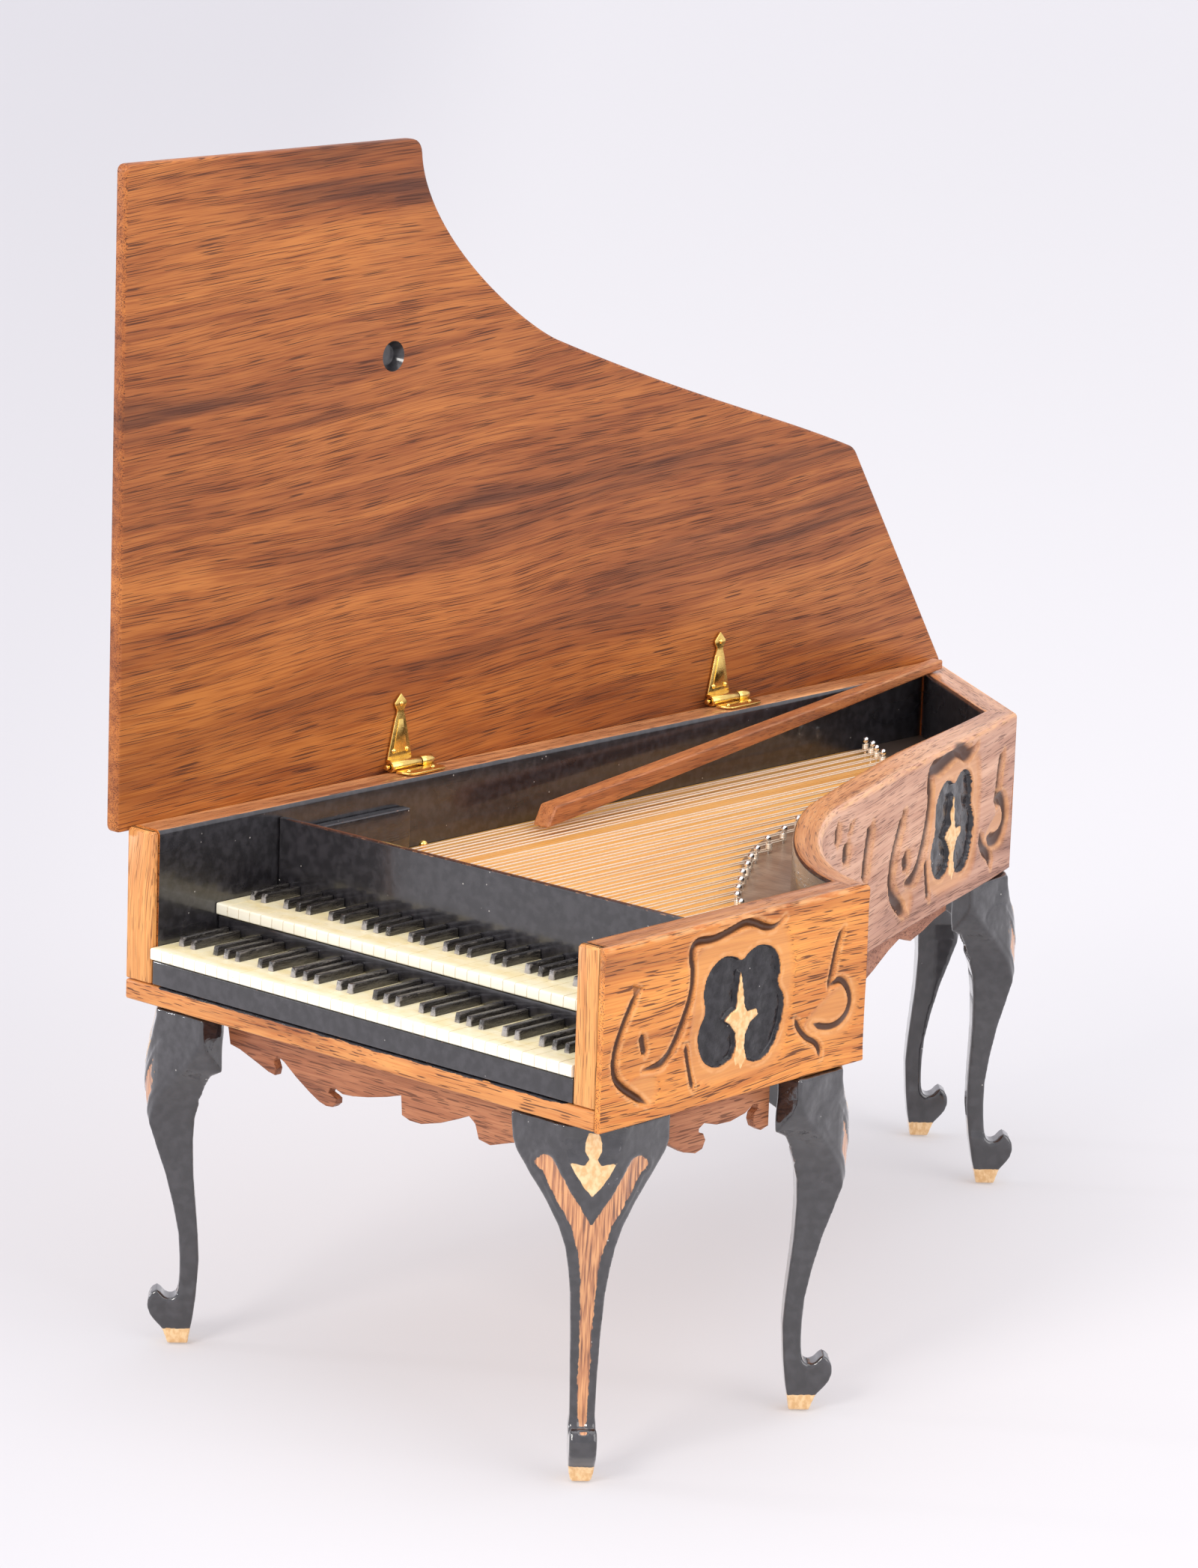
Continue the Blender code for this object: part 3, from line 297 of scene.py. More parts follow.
def ivory():
    """Cream paint on the naturals: scored joints, a yellowed top, a painted highlight along the
    nose and small chips.
    """
    t = Tree("ivory_paint")
    at = t.attr("grain", "Vector")
    cloud = t.noise(at, (0.25, 0.5, 0.5), 4.0, 0.6)
    colour = t.mix(t.ramp(cloud, 0.35, 0.68), (0.88, 0.80, 0.55), (0.78, 0.66, 0.36))
    fibre = t.noise(at, (5.0, 0.3, 0.3))
    colour = t.mix(t.ramp(fibre, 0.45, 0.7, 0.0, 0.35), colour, (0.80, 0.72, 0.46))
    # Painted highlight: the front half millimetre of each key is lightened to near white.
    colour = t.mix(t.mul(t.attr("front"), 0.8), colour, (0.95, 0.92, 0.80))
    patchy_noise = t.noise(at, (0.3, 1.2, 1.2), 3.0, shift=(3, 3, 3))
    dirty = t.mul(t.attr("joint"), t.ramp(patchy_noise, 0.30, 0.62, 0.15, 0.8))
    colour = t.mix(dirty, colour, (0.50, 0.36, 0.17))
    chip = t.ramp(t.noise(at, (1.1, 1.6, 1.6), 3.0, shift=(8, 1, 4)), 0.70, 0.735)
    colour = t.mix(t.mul(chip, 0.5), colour, (0.55, 0.42, 0.22))
    t.set(Coat_Weight=0.15, Coat_Roughness=0.3)
    return t.out(colour, t.ramp(cloud, 0.3, 0.7, 0.34, 0.48), None,
                 [(cloud, 0.10, 0.35), (fibre, 0.012, 0.4)])


def sharp_paint():
    """Black key paint, rubbed to grey and brown along edges and at the nose, with a painted grey
    highlight on the nose.
    """
    t = Tree("sharp_key_paint")
    at = t.attr("grain", "Vector")
    rub = t.noise(at, (1.0, 3.2, 3.2), 4.0, 0.7)
    fibres = t.noise(at, (0.6, 7.0, 7.0), shift=(3, 3, 1))
    colour = t.mix(t.ramp(fibres, 0.4, 0.66), (0.014, 0.012, 0.012), (0.05, 0.045, 0.04))
    wear = t.mask("edge", rub, 1.10, 1.34)
    colour = t.mix(t.mul(wear, 0.8), colour, (0.20, 0.18, 0.165))
    # Painted highlight: the sloping nose is lightened to grey.
    nose_highlight = t.mask("nose", t.mul(rub, 0.6), 0.85, 1.2)
    colour = t.mix(t.mul(nose_highlight, 0.75), colour, (0.42, 0.40, 0.40))
    t.set(Coat_Weight=0.4, Coat_Roughness=0.1)
    return t.out(colour, t.ramp(rub, 0.35, 0.7, 0.22, 0.42), None,
                 [(fibres, 0.02, 0.5), (rub, 0.12, 0.5)])


def spruce():
    """Varnished honey-coloured soundboard with fine straight grain."""
    t = Tree("soundboard_spruce")
    at = t.attr("grain", "Vector")
    years = t.node("TexWave", "Fac", {"Vector": t.scaled(at, (0.02, 1.0, 0.2)), "Scale": 0.55,
                                      "Distortion": 2.5, "Detail": 2.0}, bands_direction="Y")
    fine = t.noise(at, (0.06, 4.5, 4.5), 3.0)
    broad = t.noise(at, (0.02, 0.10, 0.10))
    colour = t.mix(t.ramp(broad, 0.35, 0.65), (0.95, 0.51, 0.12), (0.82, 0.39, 0.08))
    colour = t.mix(t.ramp(years, 0.55, 0.95, 0.0, 0.5), colour, (0.52, 0.21, 0.05))
    colour = t.mix(t.ramp(fine, 0.45, 0.7, 0.0, 0.5), colour, (1.0, 0.66, 0.26))
    # Painted shade: near black where the shade attribute is set, at the tail and round the cheek
    # end.
    colour = t.mix(t.attr("shade"), colour, (0.060, 0.040, 0.030))
    t.set(Coat_Weight=0.5, Coat_Roughness=0.15)
    return t.out(colour, 0.40, None, [(fine, 0.012, 0.4), (years, 0.01, 0.4)])


def plate_wood():
    """Dull brown-grey veneer with a close cross grain."""
    t = Tree("plate_veneer")
    at = t.attr("grain", "Vector")
    fine = t.noise(at, (0.5, 4.0, 4.0), 3.0, turn=(0, 0, 0.9))
    broad = t.noise(at, (0.15, 0.3, 0.3))
    colour = t.mix(t.ramp(broad, 0.35, 0.65), (0.34, 0.23, 0.15), (0.25, 0.155, 0.095))
    colour = t.mix(t.ramp(fine, 0.42, 0.64, 0.0, 0.5), colour, (0.13, 0.08, 0.05))
    t.set(Coat_Weight=0.3, Coat_Roughness=0.25)
    return t.out(colour, 0.42, None, [(fine, 0.02, 0.5)])


def thread():
    """Pale metallic thread with a fine twist."""
    t = Tree("metallic_thread")
    at = t.attr("grain", "Vector")
    twist = t.noise(at, (3.2, 1.0, 1.0), 1.0)
    tone = t.noise(at, (0.02, 0.9, 0.9))
    colour = t.mix(t.ramp(tone, 0.35, 0.65), (0.95, 0.86, 0.74), (0.84, 0.70, 0.54))
    colour = t.mix(t.ramp(twist, 0.35, 0.65, 0.25, 0.0), colour, (0.66, 0.50, 0.34))
    t.set(Metallic=0.5)
    return t.out(colour, t.ramp(tone, 0.3, 0.7, 0.26, 0.40), None, [(twist, 0.03, 0.3)])


def metal(name, bright, dull, gloss, mottle=0.5):
    """Polished sheet or wire with fingerprints, fine scratches and a little tarnish."""
    t = Tree(name)
    at = t.attr("grain", "Vector")
    cloud = t.noise(at, (0.7, 0.7, 0.7), 4.0, 0.65)
    colour = t.mix(t.ramp(cloud, 0.40, 0.75, 0.0, mottle), bright, dull)
    scratch = t.noise(at, (0.8, 9.0, 9.0))
    t.set(Metallic=1.0)
    return t.out(colour, t.ramp(cloud, 0.3, 0.75, gloss, gloss + 0.18), None,
                 [(scratch, 0.01, 0.4), (cloud, 0.06, 0.4)])


WALNUT = walnut("walnut_case", carved=True)
# The bentside's walnut is painted paler and pinker than the case's, as a painted sheen of the
# bright backdrop on its curve.
WALNUT_BENT_SHEEN = walnut("walnut_bentside_painted_sheen", light=(0.71, 0.40, 0.25), mid=(0.52, 0.265, 0.165),
                     dark=(0.27, 0.115, 0.068), pores=0.7, carved=True, coat=0.15)
WALNUT_RIM = walnut("walnut_rim", light=(0.69, 0.34, 0.145), mid=(0.47, 0.205, 0.085),
                    dark=(0.27, 0.095, 0.038), gloss=0.30, pores=0.8, coat=0.3)
WALNUT_LID = walnut("walnut_lid", light=(0.52, 0.182, 0.040), mid=(0.35, 0.106, 0.025),
                    dark=(0.135, 0.040, 0.014), gloss=0.46, lines=0.45, reach=0.15, fine=1.2,
                    sway=4.0)
WALNUT_BASE = walnut("walnut_base", light=(0.80, 0.37, 0.11), mid=(0.62, 0.26, 0.08),
                     painted=True)
WALNUT_STILE = walnut("walnut_stile", light=(0.86, 0.45, 0.155), mid=(0.66, 0.295, 0.090),
                      dark=(0.38, 0.145, 0.050), pores=0.7, fine=1.3)
WALNUT_STICK = walnut("walnut_stick", light=(0.56, 0.22, 0.075), mid=(0.40, 0.14, 0.048),
                      dark=(0.22, 0.075, 0.034), pores=0.6, fine=1.3, gloss=0.46)
WALNUT_APRON = walnut("walnut_apron", light=(0.54, 0.235, 0.11), mid=(0.39, 0.15, 0.068),
                      dark=(0.20, 0.070, 0.034), pores=0.8)
BLACK = black_paint("black_paint")
BLACK_WORN = black_paint("black_paint_worn", wood=(0.34, 0.16, 0.07))
# Black paint inside the case. It also stands as painted shade in the lid's hole.
INSIDE_PAINT_AND_HOLE_SHADE = black_paint("black_paint_inside_and_hole_shade", lumpy=0.05, gloss=0.08)
LEG = leg_paint()
IVORY = ivory()
SHARP = sharp_paint()
SPRUCE = spruce()
PLATE = plate_wood()
THREAD = thread()
BRASS = metal("brass_sheet", (0.95, 0.66, 0.20), (0.62, 0.38, 0.10), 0.14)
STEEL = metal("pin_wire", (0.86, 0.85, 0.83), (0.55, 0.53, 0.50), 0.12, 0.35)
BARE = walnut("bare_wood", light=(0.42, 0.24, 0.11), mid=(0.33, 0.17, 0.08), gloss=0.6)


# ---- mesh helpers

def attributes(mesh, **layers):
    """Store one number or one vector for each vertex under each name."""
    for name, values in layers.items():
        values = np.asarray(values, dtype=float)
        kind, field = ("FLOAT_VECTOR", "vector") if values.ndim == 2 else ("FLOAT", "value")
        mesh.attributes.new(name, kind, "POINT").data.foreach_set(field, values.ravel())


def coordinates(mesh, field="co"):
    """The places of a mesh's vertices, or their normals, one to a row."""
    flat = np.empty(len(mesh.vertices) * 3)
    mesh.vertices.foreach_get(field, flat)
    return flat.reshape(-1, 3)


def unit(values):
    return np.clip(values, 0, 1)


def near(values, place, reach):
    """1 at the place, falling to 0 at the given reach on both sides."""
    return unit(1 - np.abs(values - place) / reach)


def smoothstep(values):
    values = unit(values)
    return values * values * (3 - 2 * values)


def run_along(line):
    """Distance along a line to each of its points."""
    return np.r_[0, np.cumsum(np.linalg.norm(np.diff(line, axis=0), axis=1))]


def grain_along(points, axis, shift=(0, 0, 0)):
    """Grain coordinates: first along the given axis, then the other two."""
    order = {"X": (0, 1, 2), "Y": (1, 0, 2), "Z": (2, 0, 1)}[axis]
    return points[:, order] + np.array(shift)


def finish_mesh(mesh, angle=35):
    """Weld a mesh, turn its faces outwards and shade it smooth up to the angle."""
    bm = bmesh.new()
    bm.from_mesh(mesh)
    bmesh.ops.remove_doubles(bm, verts=bm.verts, dist=1e-4)
    bm.normal_update()
    bmesh.ops.recalc_face_normals(bm, faces=bm.faces)
    bm.to_mesh(mesh)
    bm.free()
    mesh.shade_smooth()
    mesh.set_sharp_from_angle(angle=math.radians(angle))


def placed(name, data):
    """A new object in the scene."""
    obj = bpy.data.objects.new(name, data)
    bpy.context.scene.collection.objects.link(obj)
    return obj


def mesh_from(bm):
    """A stored mesh from a working one, which is freed."""
    mesh = bpy.data.meshes.new("work")
    bm.to_mesh(mesh)
    bm.free()
    return mesh


def merged(meshes):
    """One mesh of several."""
    bm = bmesh.new()
    for mesh in meshes:
        bm.from_mesh(mesh)
    return mesh_from(bm)


def in_frame(name, mesh, *materials):
    """Object of a mesh that is moved from plan millimetres into the frame."""
    for each in materials:
        mesh.materials.append(each)
    mesh.transform(Matrix.Translation(Vector(ORIGIN)) @ Matrix.Scale(MM, 4))
    mesh.name = name
    return placed(name, mesh)


def piece(name, mesh, node, *materials):
    """A mesh that stands for a CAD node and rides on its body."""
    obj = in_frame(name, mesh, *materials)
    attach(obj, BODY_OF[node])
    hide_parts(node)


def grained(name, mesh, node, material, axis="X", shift=(0, 0, 0), angle=35):
    """A piece with its grain along one axis."""
    finish_mesh(mesh, angle)
    attributes(mesh, grain=grain_along(coordinates(mesh), axis, shift))
    piece(name, mesh, node, material)


def loft(rings, caps=True):
    """Tube through rings of shape (rings, points, 3)."""
    count, size, _ = rings.shape
    i, j = np.arange(count - 1)[:, None] * size, np.arange(size)[None, :]
    k = (j + 1) % size
    faces = np.stack([i + j, i + k, i + size + k, i + size + j], -1).reshape(-1, 4).tolist()
    if caps:
        faces += [list(range(size))[::-1], list(range((count - 1) * size, count * size))]
    mesh = bpy.data.meshes.new("work")
    mesh.from_pydata(rings.reshape(-1, 3).tolist(), [], faces)
    return mesh


def turned(profile, sides=16):
    """A (radius, height) profile turned about Z."""
    angles = np.linspace(0, 2 * math.pi, sides, endpoint=False)
    return loft(np.array([[(r * math.cos(a), r * math.sin(a), h) for a in angles]
                          for r, h in profile]), caps=False)


def evaluated(data, *modifiers):
    """The mesh of a mesh or curve after modifiers, each a (type, settings) pair."""
    obj = placed("work", data)
    for kind, settings in modifiers:
        modifier = obj.modifiers.new(kind, kind)
        for key, value in settings.items():
            setattr(modifier, key, value)
    bpy.context.view_layer.update()
    graph = bpy.context.evaluated_depsgraph_get()
    result = bpy.data.meshes.new_from_object(obj.evaluated_get(graph))
    bpy.data.objects.remove(obj)
    return result


def boolean(mesh, other, operation):
    """A mesh joined with, cut to or cut by another."""
    tool = placed("tool", other)
    result = evaluated(mesh, ("BOOLEAN", dict(operation=operation, solver="EXACT", object=tool)))
    bpy.data.objects.remove(tool)
    return result


def bevelled(width, angle=40):
    """Modifier that rounds the edges sharper than the angle."""
    return ("BEVEL", dict(width=width, segments=3, limit_method="ANGLE",
                          angle_limit=math.radians(angle)))


def node_mesh(node):
    """A CAD node's mesh in plan millimetres, with coplanar faces joined."""
    mesh = NODES[node].data.copy()
    mesh.materials.clear()
    mesh.transform(Matrix.Scale(1 / MM, 4) @ Matrix.Translation(-Vector(ORIGIN)))
    bm = bmesh.new()
    bm.from_mesh(mesh)
    bmesh.ops.remove_doubles(bm, verts=bm.verts, dist=1e-3)
    bmesh.ops.dissolve_limit(bm, angle_limit=math.radians(1), verts=bm.verts, edges=bm.edges)
    bm.to_mesh(mesh)
    bm.free()
    return mesh


def edge_field(points, reach):
    """1 at a box-like mesh's outer edges, falling to 0 at the given reach."""
    low, high = points.min(0), points.max(0)
    return near(np.sort(np.minimum(points - low, high - points), axis=1)[:, 1], 0, reach)


def cut_along(mesh, axis, step):
    """Slice a long mesh across its length so that attributes can vary along it."""
    number = "XYZ".index(axis)
    bm = bmesh.new()
    bm.from_mesh(mesh)
    places = [v.co[number] for v in bm.verts]
    normal = Vector([float(i == number) for i in range(3)])
    for place in np.arange(min(places) + step, max(places) - step / 2, step):
        bmesh.ops.bisect_plane(bm, geom=bm.verts[:] + bm.edges[:] + bm.faces[:],
                               plane_co=normal * place, plane_no=normal)
    bm.to_mesh(mesh)
    bm.free()


def softened(node, bevel, *cuts):
    """A CAD node's mesh with rounded edges, sliced along each (axis, step), and its points."""
    mesh = evaluated(node_mesh(node), bevelled(bevel))
    for axis, step in cuts:
        cut_along(mesh, axis, step)
    finish_mesh(mesh)
    return mesh, coordinates(mesh)


def refined(node, material, axis, bevel, shift=(0, 0, 0), wear=0.0, split=None):
    """A CAD node with rounded edges, grain and wear."""
    cuts = [(axis, split)] if split else []
    mesh, points = softened(node, bevel, *cuts)
    attributes(mesh, grain=grain_along(points, axis, shift))
    if wear:
        attributes(mesh, edge=edge_field(points, wear))
    piece(node + "_skin", mesh, node, material)


# ---- plan outline

def bezier(p0, p1, p2, p3, steps):
    t = np.linspace(0, 1, steps + 1)[:-1, None]
    s = 1 - t
    return p0 * s ** 3 + p1 * 3 * s * s * t + p2 * 3 * s * t * t + p3 * t ** 3


WAIST = np.array([49.15, 73.0])               # where the bentside's two curves meet
WAIST_WAY = np.array([-0.349, 0.937])
CHEEK_WAY = np.array([-0.993, 0.115])         # its direction as it leaves the cheek
TAIL_WAY = np.array([-0.345, 0.939])


def bentside(steps):
    """Curve of the bentside from the cheek by way of its waist to the tail."""
    start = np.array([WIDTH, CHEEK])
    return np.vstack([bezier(start, start + CHEEK_WAY * 12, WAIST - WAIST_WAY * 7, WAIST, steps),
                      bezier(WAIST, WAIST + WAIST_WAY * 30, TAIL - TAIL_WAY * 18, TAIL, steps),
                      TAIL[None]])


BENT = bentside(180)
CORNERS = np.vstack([[[0, 0], [WIDTH, 0]], BENT, [[0, LENGTH]]])
FIRST, LAST = 2, 1 + len(BENT)


def shifted(points, distances):
    """Closed outline with each edge moved inwards by its own distance, mitred."""
    edge = np.roll(points, -1, 0) - points
    edge /= np.linalg.norm(edge, axis=1)[:, None]
    after = np.stack([-edge[:, 1], edge[:, 0]], 1)
    before = np.roll(after, 1, 0)
    d_after = np.asarray(distances, float)
    d_before = np.roll(d_after, 1)
    det = before[:, 0] * after[:, 1] - before[:, 1] * after[:, 0]
    flat = np.abs(det) < 0.2
    det = np.where(flat, 1, det)
    move = np.stack([(d_before * after[:, 1] - d_after * before[:, 1]) / det,
                     (d_after * before[:, 0] - d_before * after[:, 0]) / det], 1)
    middle = (before + after) / np.linalg.norm(before + after, axis=1)[:, None]
    move[flat] = (middle * ((d_before + d_after) / 2)[:, None])[flat]
    return points + move


def outline(front=0.0, cheek=0.0, bent=0.0, tail=0.0, spine=0.0):
    """The case's outline with each side moved inwards by its own distance."""
    sides = np.zeros(len(CORNERS))
    sides[FIRST:LAST] = bent
    sides[0], sides[1] = front, cheek
    sides[LAST], sides[LAST + 1] = tail, spine
    return shifted(CORNERS, sides)


def bent_line(inwards):
    """The bentside's part of the outline, moved inwards."""
    return outline(bent=inwards)[FIRST:LAST + 1]


PIECES = (np.arange(LAST - FIRST) + 0.5) / (LAST - FIRST)
BENT_WALL = np.interp(PIECES, [0, 0.33, 0.5, 0.72, 1.0], [3.0, 3.7, 4.4, 5.4, 4.3])
OUTSIDE = outline()
INSIDE_LINE = outline(cheek=WALL, bent=BENT_WALL, tail=WALL, spine=WALL)


# ---- carving

def smoothed(points, closed=False):
    """A line with its corners cut twice."""
    points = np.asarray(points, float)
    for _ in range(2):
        following = np.roll(points, -1, 0) if closed else points[1:]
        here = points if closed else points[:-1]
        cut = np.stack([here * 0.75 + following * 0.25, here * 0.25 + following * 0.75], 1)
        cut = cut.reshape(-1, 2)
        points = cut if closed else np.vstack([points[:1], cut, points[-1:]])
    return points


def along_line(grid, line):
    """Distance from grid points to a line, and how far along it, from 0 to 1."""
    best = np.full(grid.shape[:-1], 1e9)
    place = np.zeros_like(best)
    lengths = np.linalg.norm(np.diff(line, axis=0), axis=1)
    total, run = lengths.sum(), 0.0
    for a, b, length in zip(line[:-1], line[1:], lengths):
        step = b - a
        t = np.clip(((grid - a) @ step) / max(step @ step, 1e-9), 0, 1)
        away = np.linalg.norm(grid - a - t[..., None] * step, axis=-1)
        nearer = away < best
        best = np.where(nearer, away, best)
        place = np.where(nearer, (run + t * length) / total, place)
        run += length
    return best, place


def inside_by(grid, polygon):
    """Signed distance to a closed polygon, positive inside."""
    closed = np.vstack([polygon, polygon[:1]])
    away, _ = along_line(grid, closed)
    x, y = grid[..., 0], grid[..., 1]
    inside = np.zeros(x.shape, bool)
    for (x0, y0), (x1, y1) in zip(closed[:-1], closed[1:]):
        if y0 == y1:
            continue
        crosses = (y0 > y) != (y1 > y)
        inside ^= crosses & (x < (x1 - x0) * (y - y0) / (y1 - y0) + x0)
    return np.where(inside, away, -away)


# Cuts of the carved panel, (along, up) in millimetres: width, depth and line
CUTS = [
    (0.42, 0.75, [(5.7, 15.6), (5.2, 14.6), (3.6, 12.2), (2.3, 9.6), (2.0, 7.3), (2.6, 5.6),
                  (4.1, 4.3), (5.9, 3.2), (8.0, 1.9)]),
    (0.45, 0.55, [(6.5, 10.2), (6.9, 8.9), (7.2, 7.8)]),
    (0.46, 0.80, [(30.6, 19.7), (29.2, 18.7), (27.6, 18.9), (26.1, 19.6), (24.2, 20.2),
                  (21.5, 19.6), (18.6, 19.0), (16.2, 19.3), (14.9, 19.0), (14.6, 17.7),
                  (15.2, 16.1), (15.0, 13.5), (13.9, 10.8), (12.3, 8.0), (10.9, 6.5),
                  (9.6, 6.0), (6.9, 6.0)]),
    (0.30, 0.45, [(14.1, 7.6), (14.7, 5.2), (15.6, 2.2)]),
    (0.42, 0.75, [(41.3, 16.6), (40.4, 14.6), (39.9, 12.4), (39.1, 9.6)]),
    (0.40, 0.60, [(39.4, 10.0), (41.4, 10.6), (43.0, 9.2), (43.5, 7.4), (42.6, 5.8),
                  (40.6, 5.0), (38.3, 5.3), (36.6, 6.0)]),
    (0.34, 0.50, [(33.2, 7.2), (34.2, 5.6), (35.6, 4.4), (37.0, 3.8), (37.8, 2.9), (37.9, 1.8)]),
]
NOTCH = [(4.6, 16.4), (6.9, 15.6), (5.0, 14.2)]
LOBES = [(22.5, 4.5), (20.0, 3.6), (17.6, 4.7), (16.4, 6.8), (16.4, 8.9), (17.7, 10.6),
         (17.0, 12.9), (17.8, 15.3), (20.2, 16.8), (22.6, 16.4), (23.7, 15.6), (24.9, 16.7),
         (27.2, 17.2), (29.8, 16.0), (30.6, 13.5), (29.9, 12.0), (31.5, 10.2), (31.3, 7.6),
         (30.2, 5.2), (28.6, 3.6), (26.8, 3.2), (25.1, 3.8)]
DAGGER_RIGHT = [(24.5, 5.6), (24.65, 7.0), (25.4, 8.2), (26.8, 8.9), (26.5, 9.6), (25.0, 9.5),
                (24.4, 10.2), (24.1, 12.0), (23.6, 14.4)]
DAGGER_LEFT = [(23.2, 12.0), (23.0, 10.2), (21.8, 9.7), (21.0, 9.1), (21.9, 8.6), (22.95, 7.4),
               (23.15, 5.9)]
TREFOIL = np.vstack([smoothed(LOBES), DAGGER_RIGHT, DAGGER_LEFT])
DAGGER_FOOT = [(22.8, 4.4), (23.1, 3.5), (23.6, 3.8), (24.0, 2.9), (24.5, 3.7), (24.9, 4.2)]
DAGGER = np.array(DAGGER_FOOT + DAGGER_RIGHT + DAGGER_LEFT)
# Smooth lowered fields round the trefoil, at the left foot and right of the long cut
FIELDS = [
    [(14.9, 18.9), (22, 19.6), (31, 19.6), (32.6, 16), (33, 12.5), (32.6, 9), (31.5, 2.2),
     (24, 1.7), (15.6, 1.9), (14.3, 7), (15.2, 13)],
    [(3.5, 5.4), (10.2, 5.6), (9.6, 1.2), (6.5, 2.0)],
    [(39.5, 9.5), (44.8, 11), (45, 6), (42, 3), (36, 3.8), (34, 6.5)],
]
FIELD_DEPTH = 0.28
RECESS_DEPTH = 0.85
NOTCH_DEPTH = 0.45
LIP = 0.35                                    # from a groove to the lip worn beside it
MASKS = ("depth", "cut", "recess", "gilt", "lip", "plain")
FAR = -9.0                                    # signed distance to a field that isn't there


def blank_masks(shape):
    masks = np.zeros((len(MASKS),) + shape)
    masks[2:4] = FAR
    return masks


def deepest(mask, values):
    """Raise a mask in place to the values where they are greater."""
    np.maximum(mask, values, out=mask)


def carving(grid, starts, extra, broad):
    """Depth and colour masks of the carved panel repeated at the given starts."""
    depth, cut, recess, gilt, lip, plain = masks = blank_masks(grid.shape[:-1])
    lines = [(width, deep, np.array(line) + (start, 0.0))
             for start in starts for width, deep, line in CUTS]
    lines += [(width, deep, np.array(line)) for width, deep, line in extra]
    for width, deep, line in lines:
        away, place = along_line(grid, smoothed(line))
        taper = unit(np.minimum(place, 1 - place) * 7 + 0.35)
        wide = width * taper * broad
        groove = unit(1 - (away / np.maximum(wide * 1.3, 0.05)) ** 2)
        shoulder = near(away, 0, wide * 3.6) ** 2
        hollow = deep * broad ** 0.5 * taper
        deepest(depth, hollow * (groove ** 0.7 * 0.75 + shoulder * 0.35))
        # The cut mask marks where the walnut is darkened as painted shade in the grooves.
        deepest(cut, groove * taper)
        deepest(plain, shoulder * 0.8)
        deepest(lip, near(away, wide + LIP, 0.3))
    for start in starts:
        at = grid - (start, 0.0)
        for field in FIELDS:
            lowered = smoothstep(inside_by(at, smoothed(field, True)) / 1.2 + 0.2)
            deepest(depth, FIELD_DEPTH * lowered)
            deepest(plain, lowered)
        black = inside_by(at, TREFOIL)
        lumps = 0.06 * np.sin(at[..., 0] * 1.9 + at[..., 1]) * np.sin(at[..., 1] * 1.3 + 1.0)
        deepest(depth, smoothstep(black / 0.38 + 0.4) * (RECESS_DEPTH + lumps))
        deepest(recess, black)
        deepest(gilt, inside_by(at, DAGGER))
        deepest(lip, near(black, -0.45, 0.3))
        notch = inside_by(at, np.array(NOTCH))
        deepest(depth, NOTCH_DEPTH * unit(notch / 0.3))
        deepest(cut, NOTCH_DEPTH * unit(notch / 0.2))
    return masks


# ---- case walls

ROUND = 0.62                                  # radius of the rim
GLUE = 0.12                                   # gap above the base's underside and its top


def wall_profile(fine, rabbet):
    """Section of a wall as (share of thickness, height), up the outside first."""
    outer = [(GLUE / WALL, BOTTOM)]
    outer += [(0.0, z) for z in np.linspace(BOTTOM + GLUE, RIM - ROUND, fine)]
    turn = np.radians(np.linspace(0, 90, 6))[1:]
    round_out = [(ROUND * (1 - math.cos(a)) / WALL, RIM - ROUND + ROUND * math.sin(a))
                 for a in turn]
    top = [(share, RIM + 0.02 * math.sin(share * 9)) for share in np.linspace(0.2, 0.8, 6)]
    round_in = [(1 - share, z) for share, z in round_out[::-1]]
    down = [(1.0, z) for z in np.linspace(RIM - ROUND, BASE_TOP + GLUE, 8)]
    section = outer + round_out + top + round_in + down
    if rabbet:
        section += [(SKIN / WALL, BASE_TOP + GLUE), (SKIN / WALL, BOTTOM)]
    return np.array(section), len(outer)


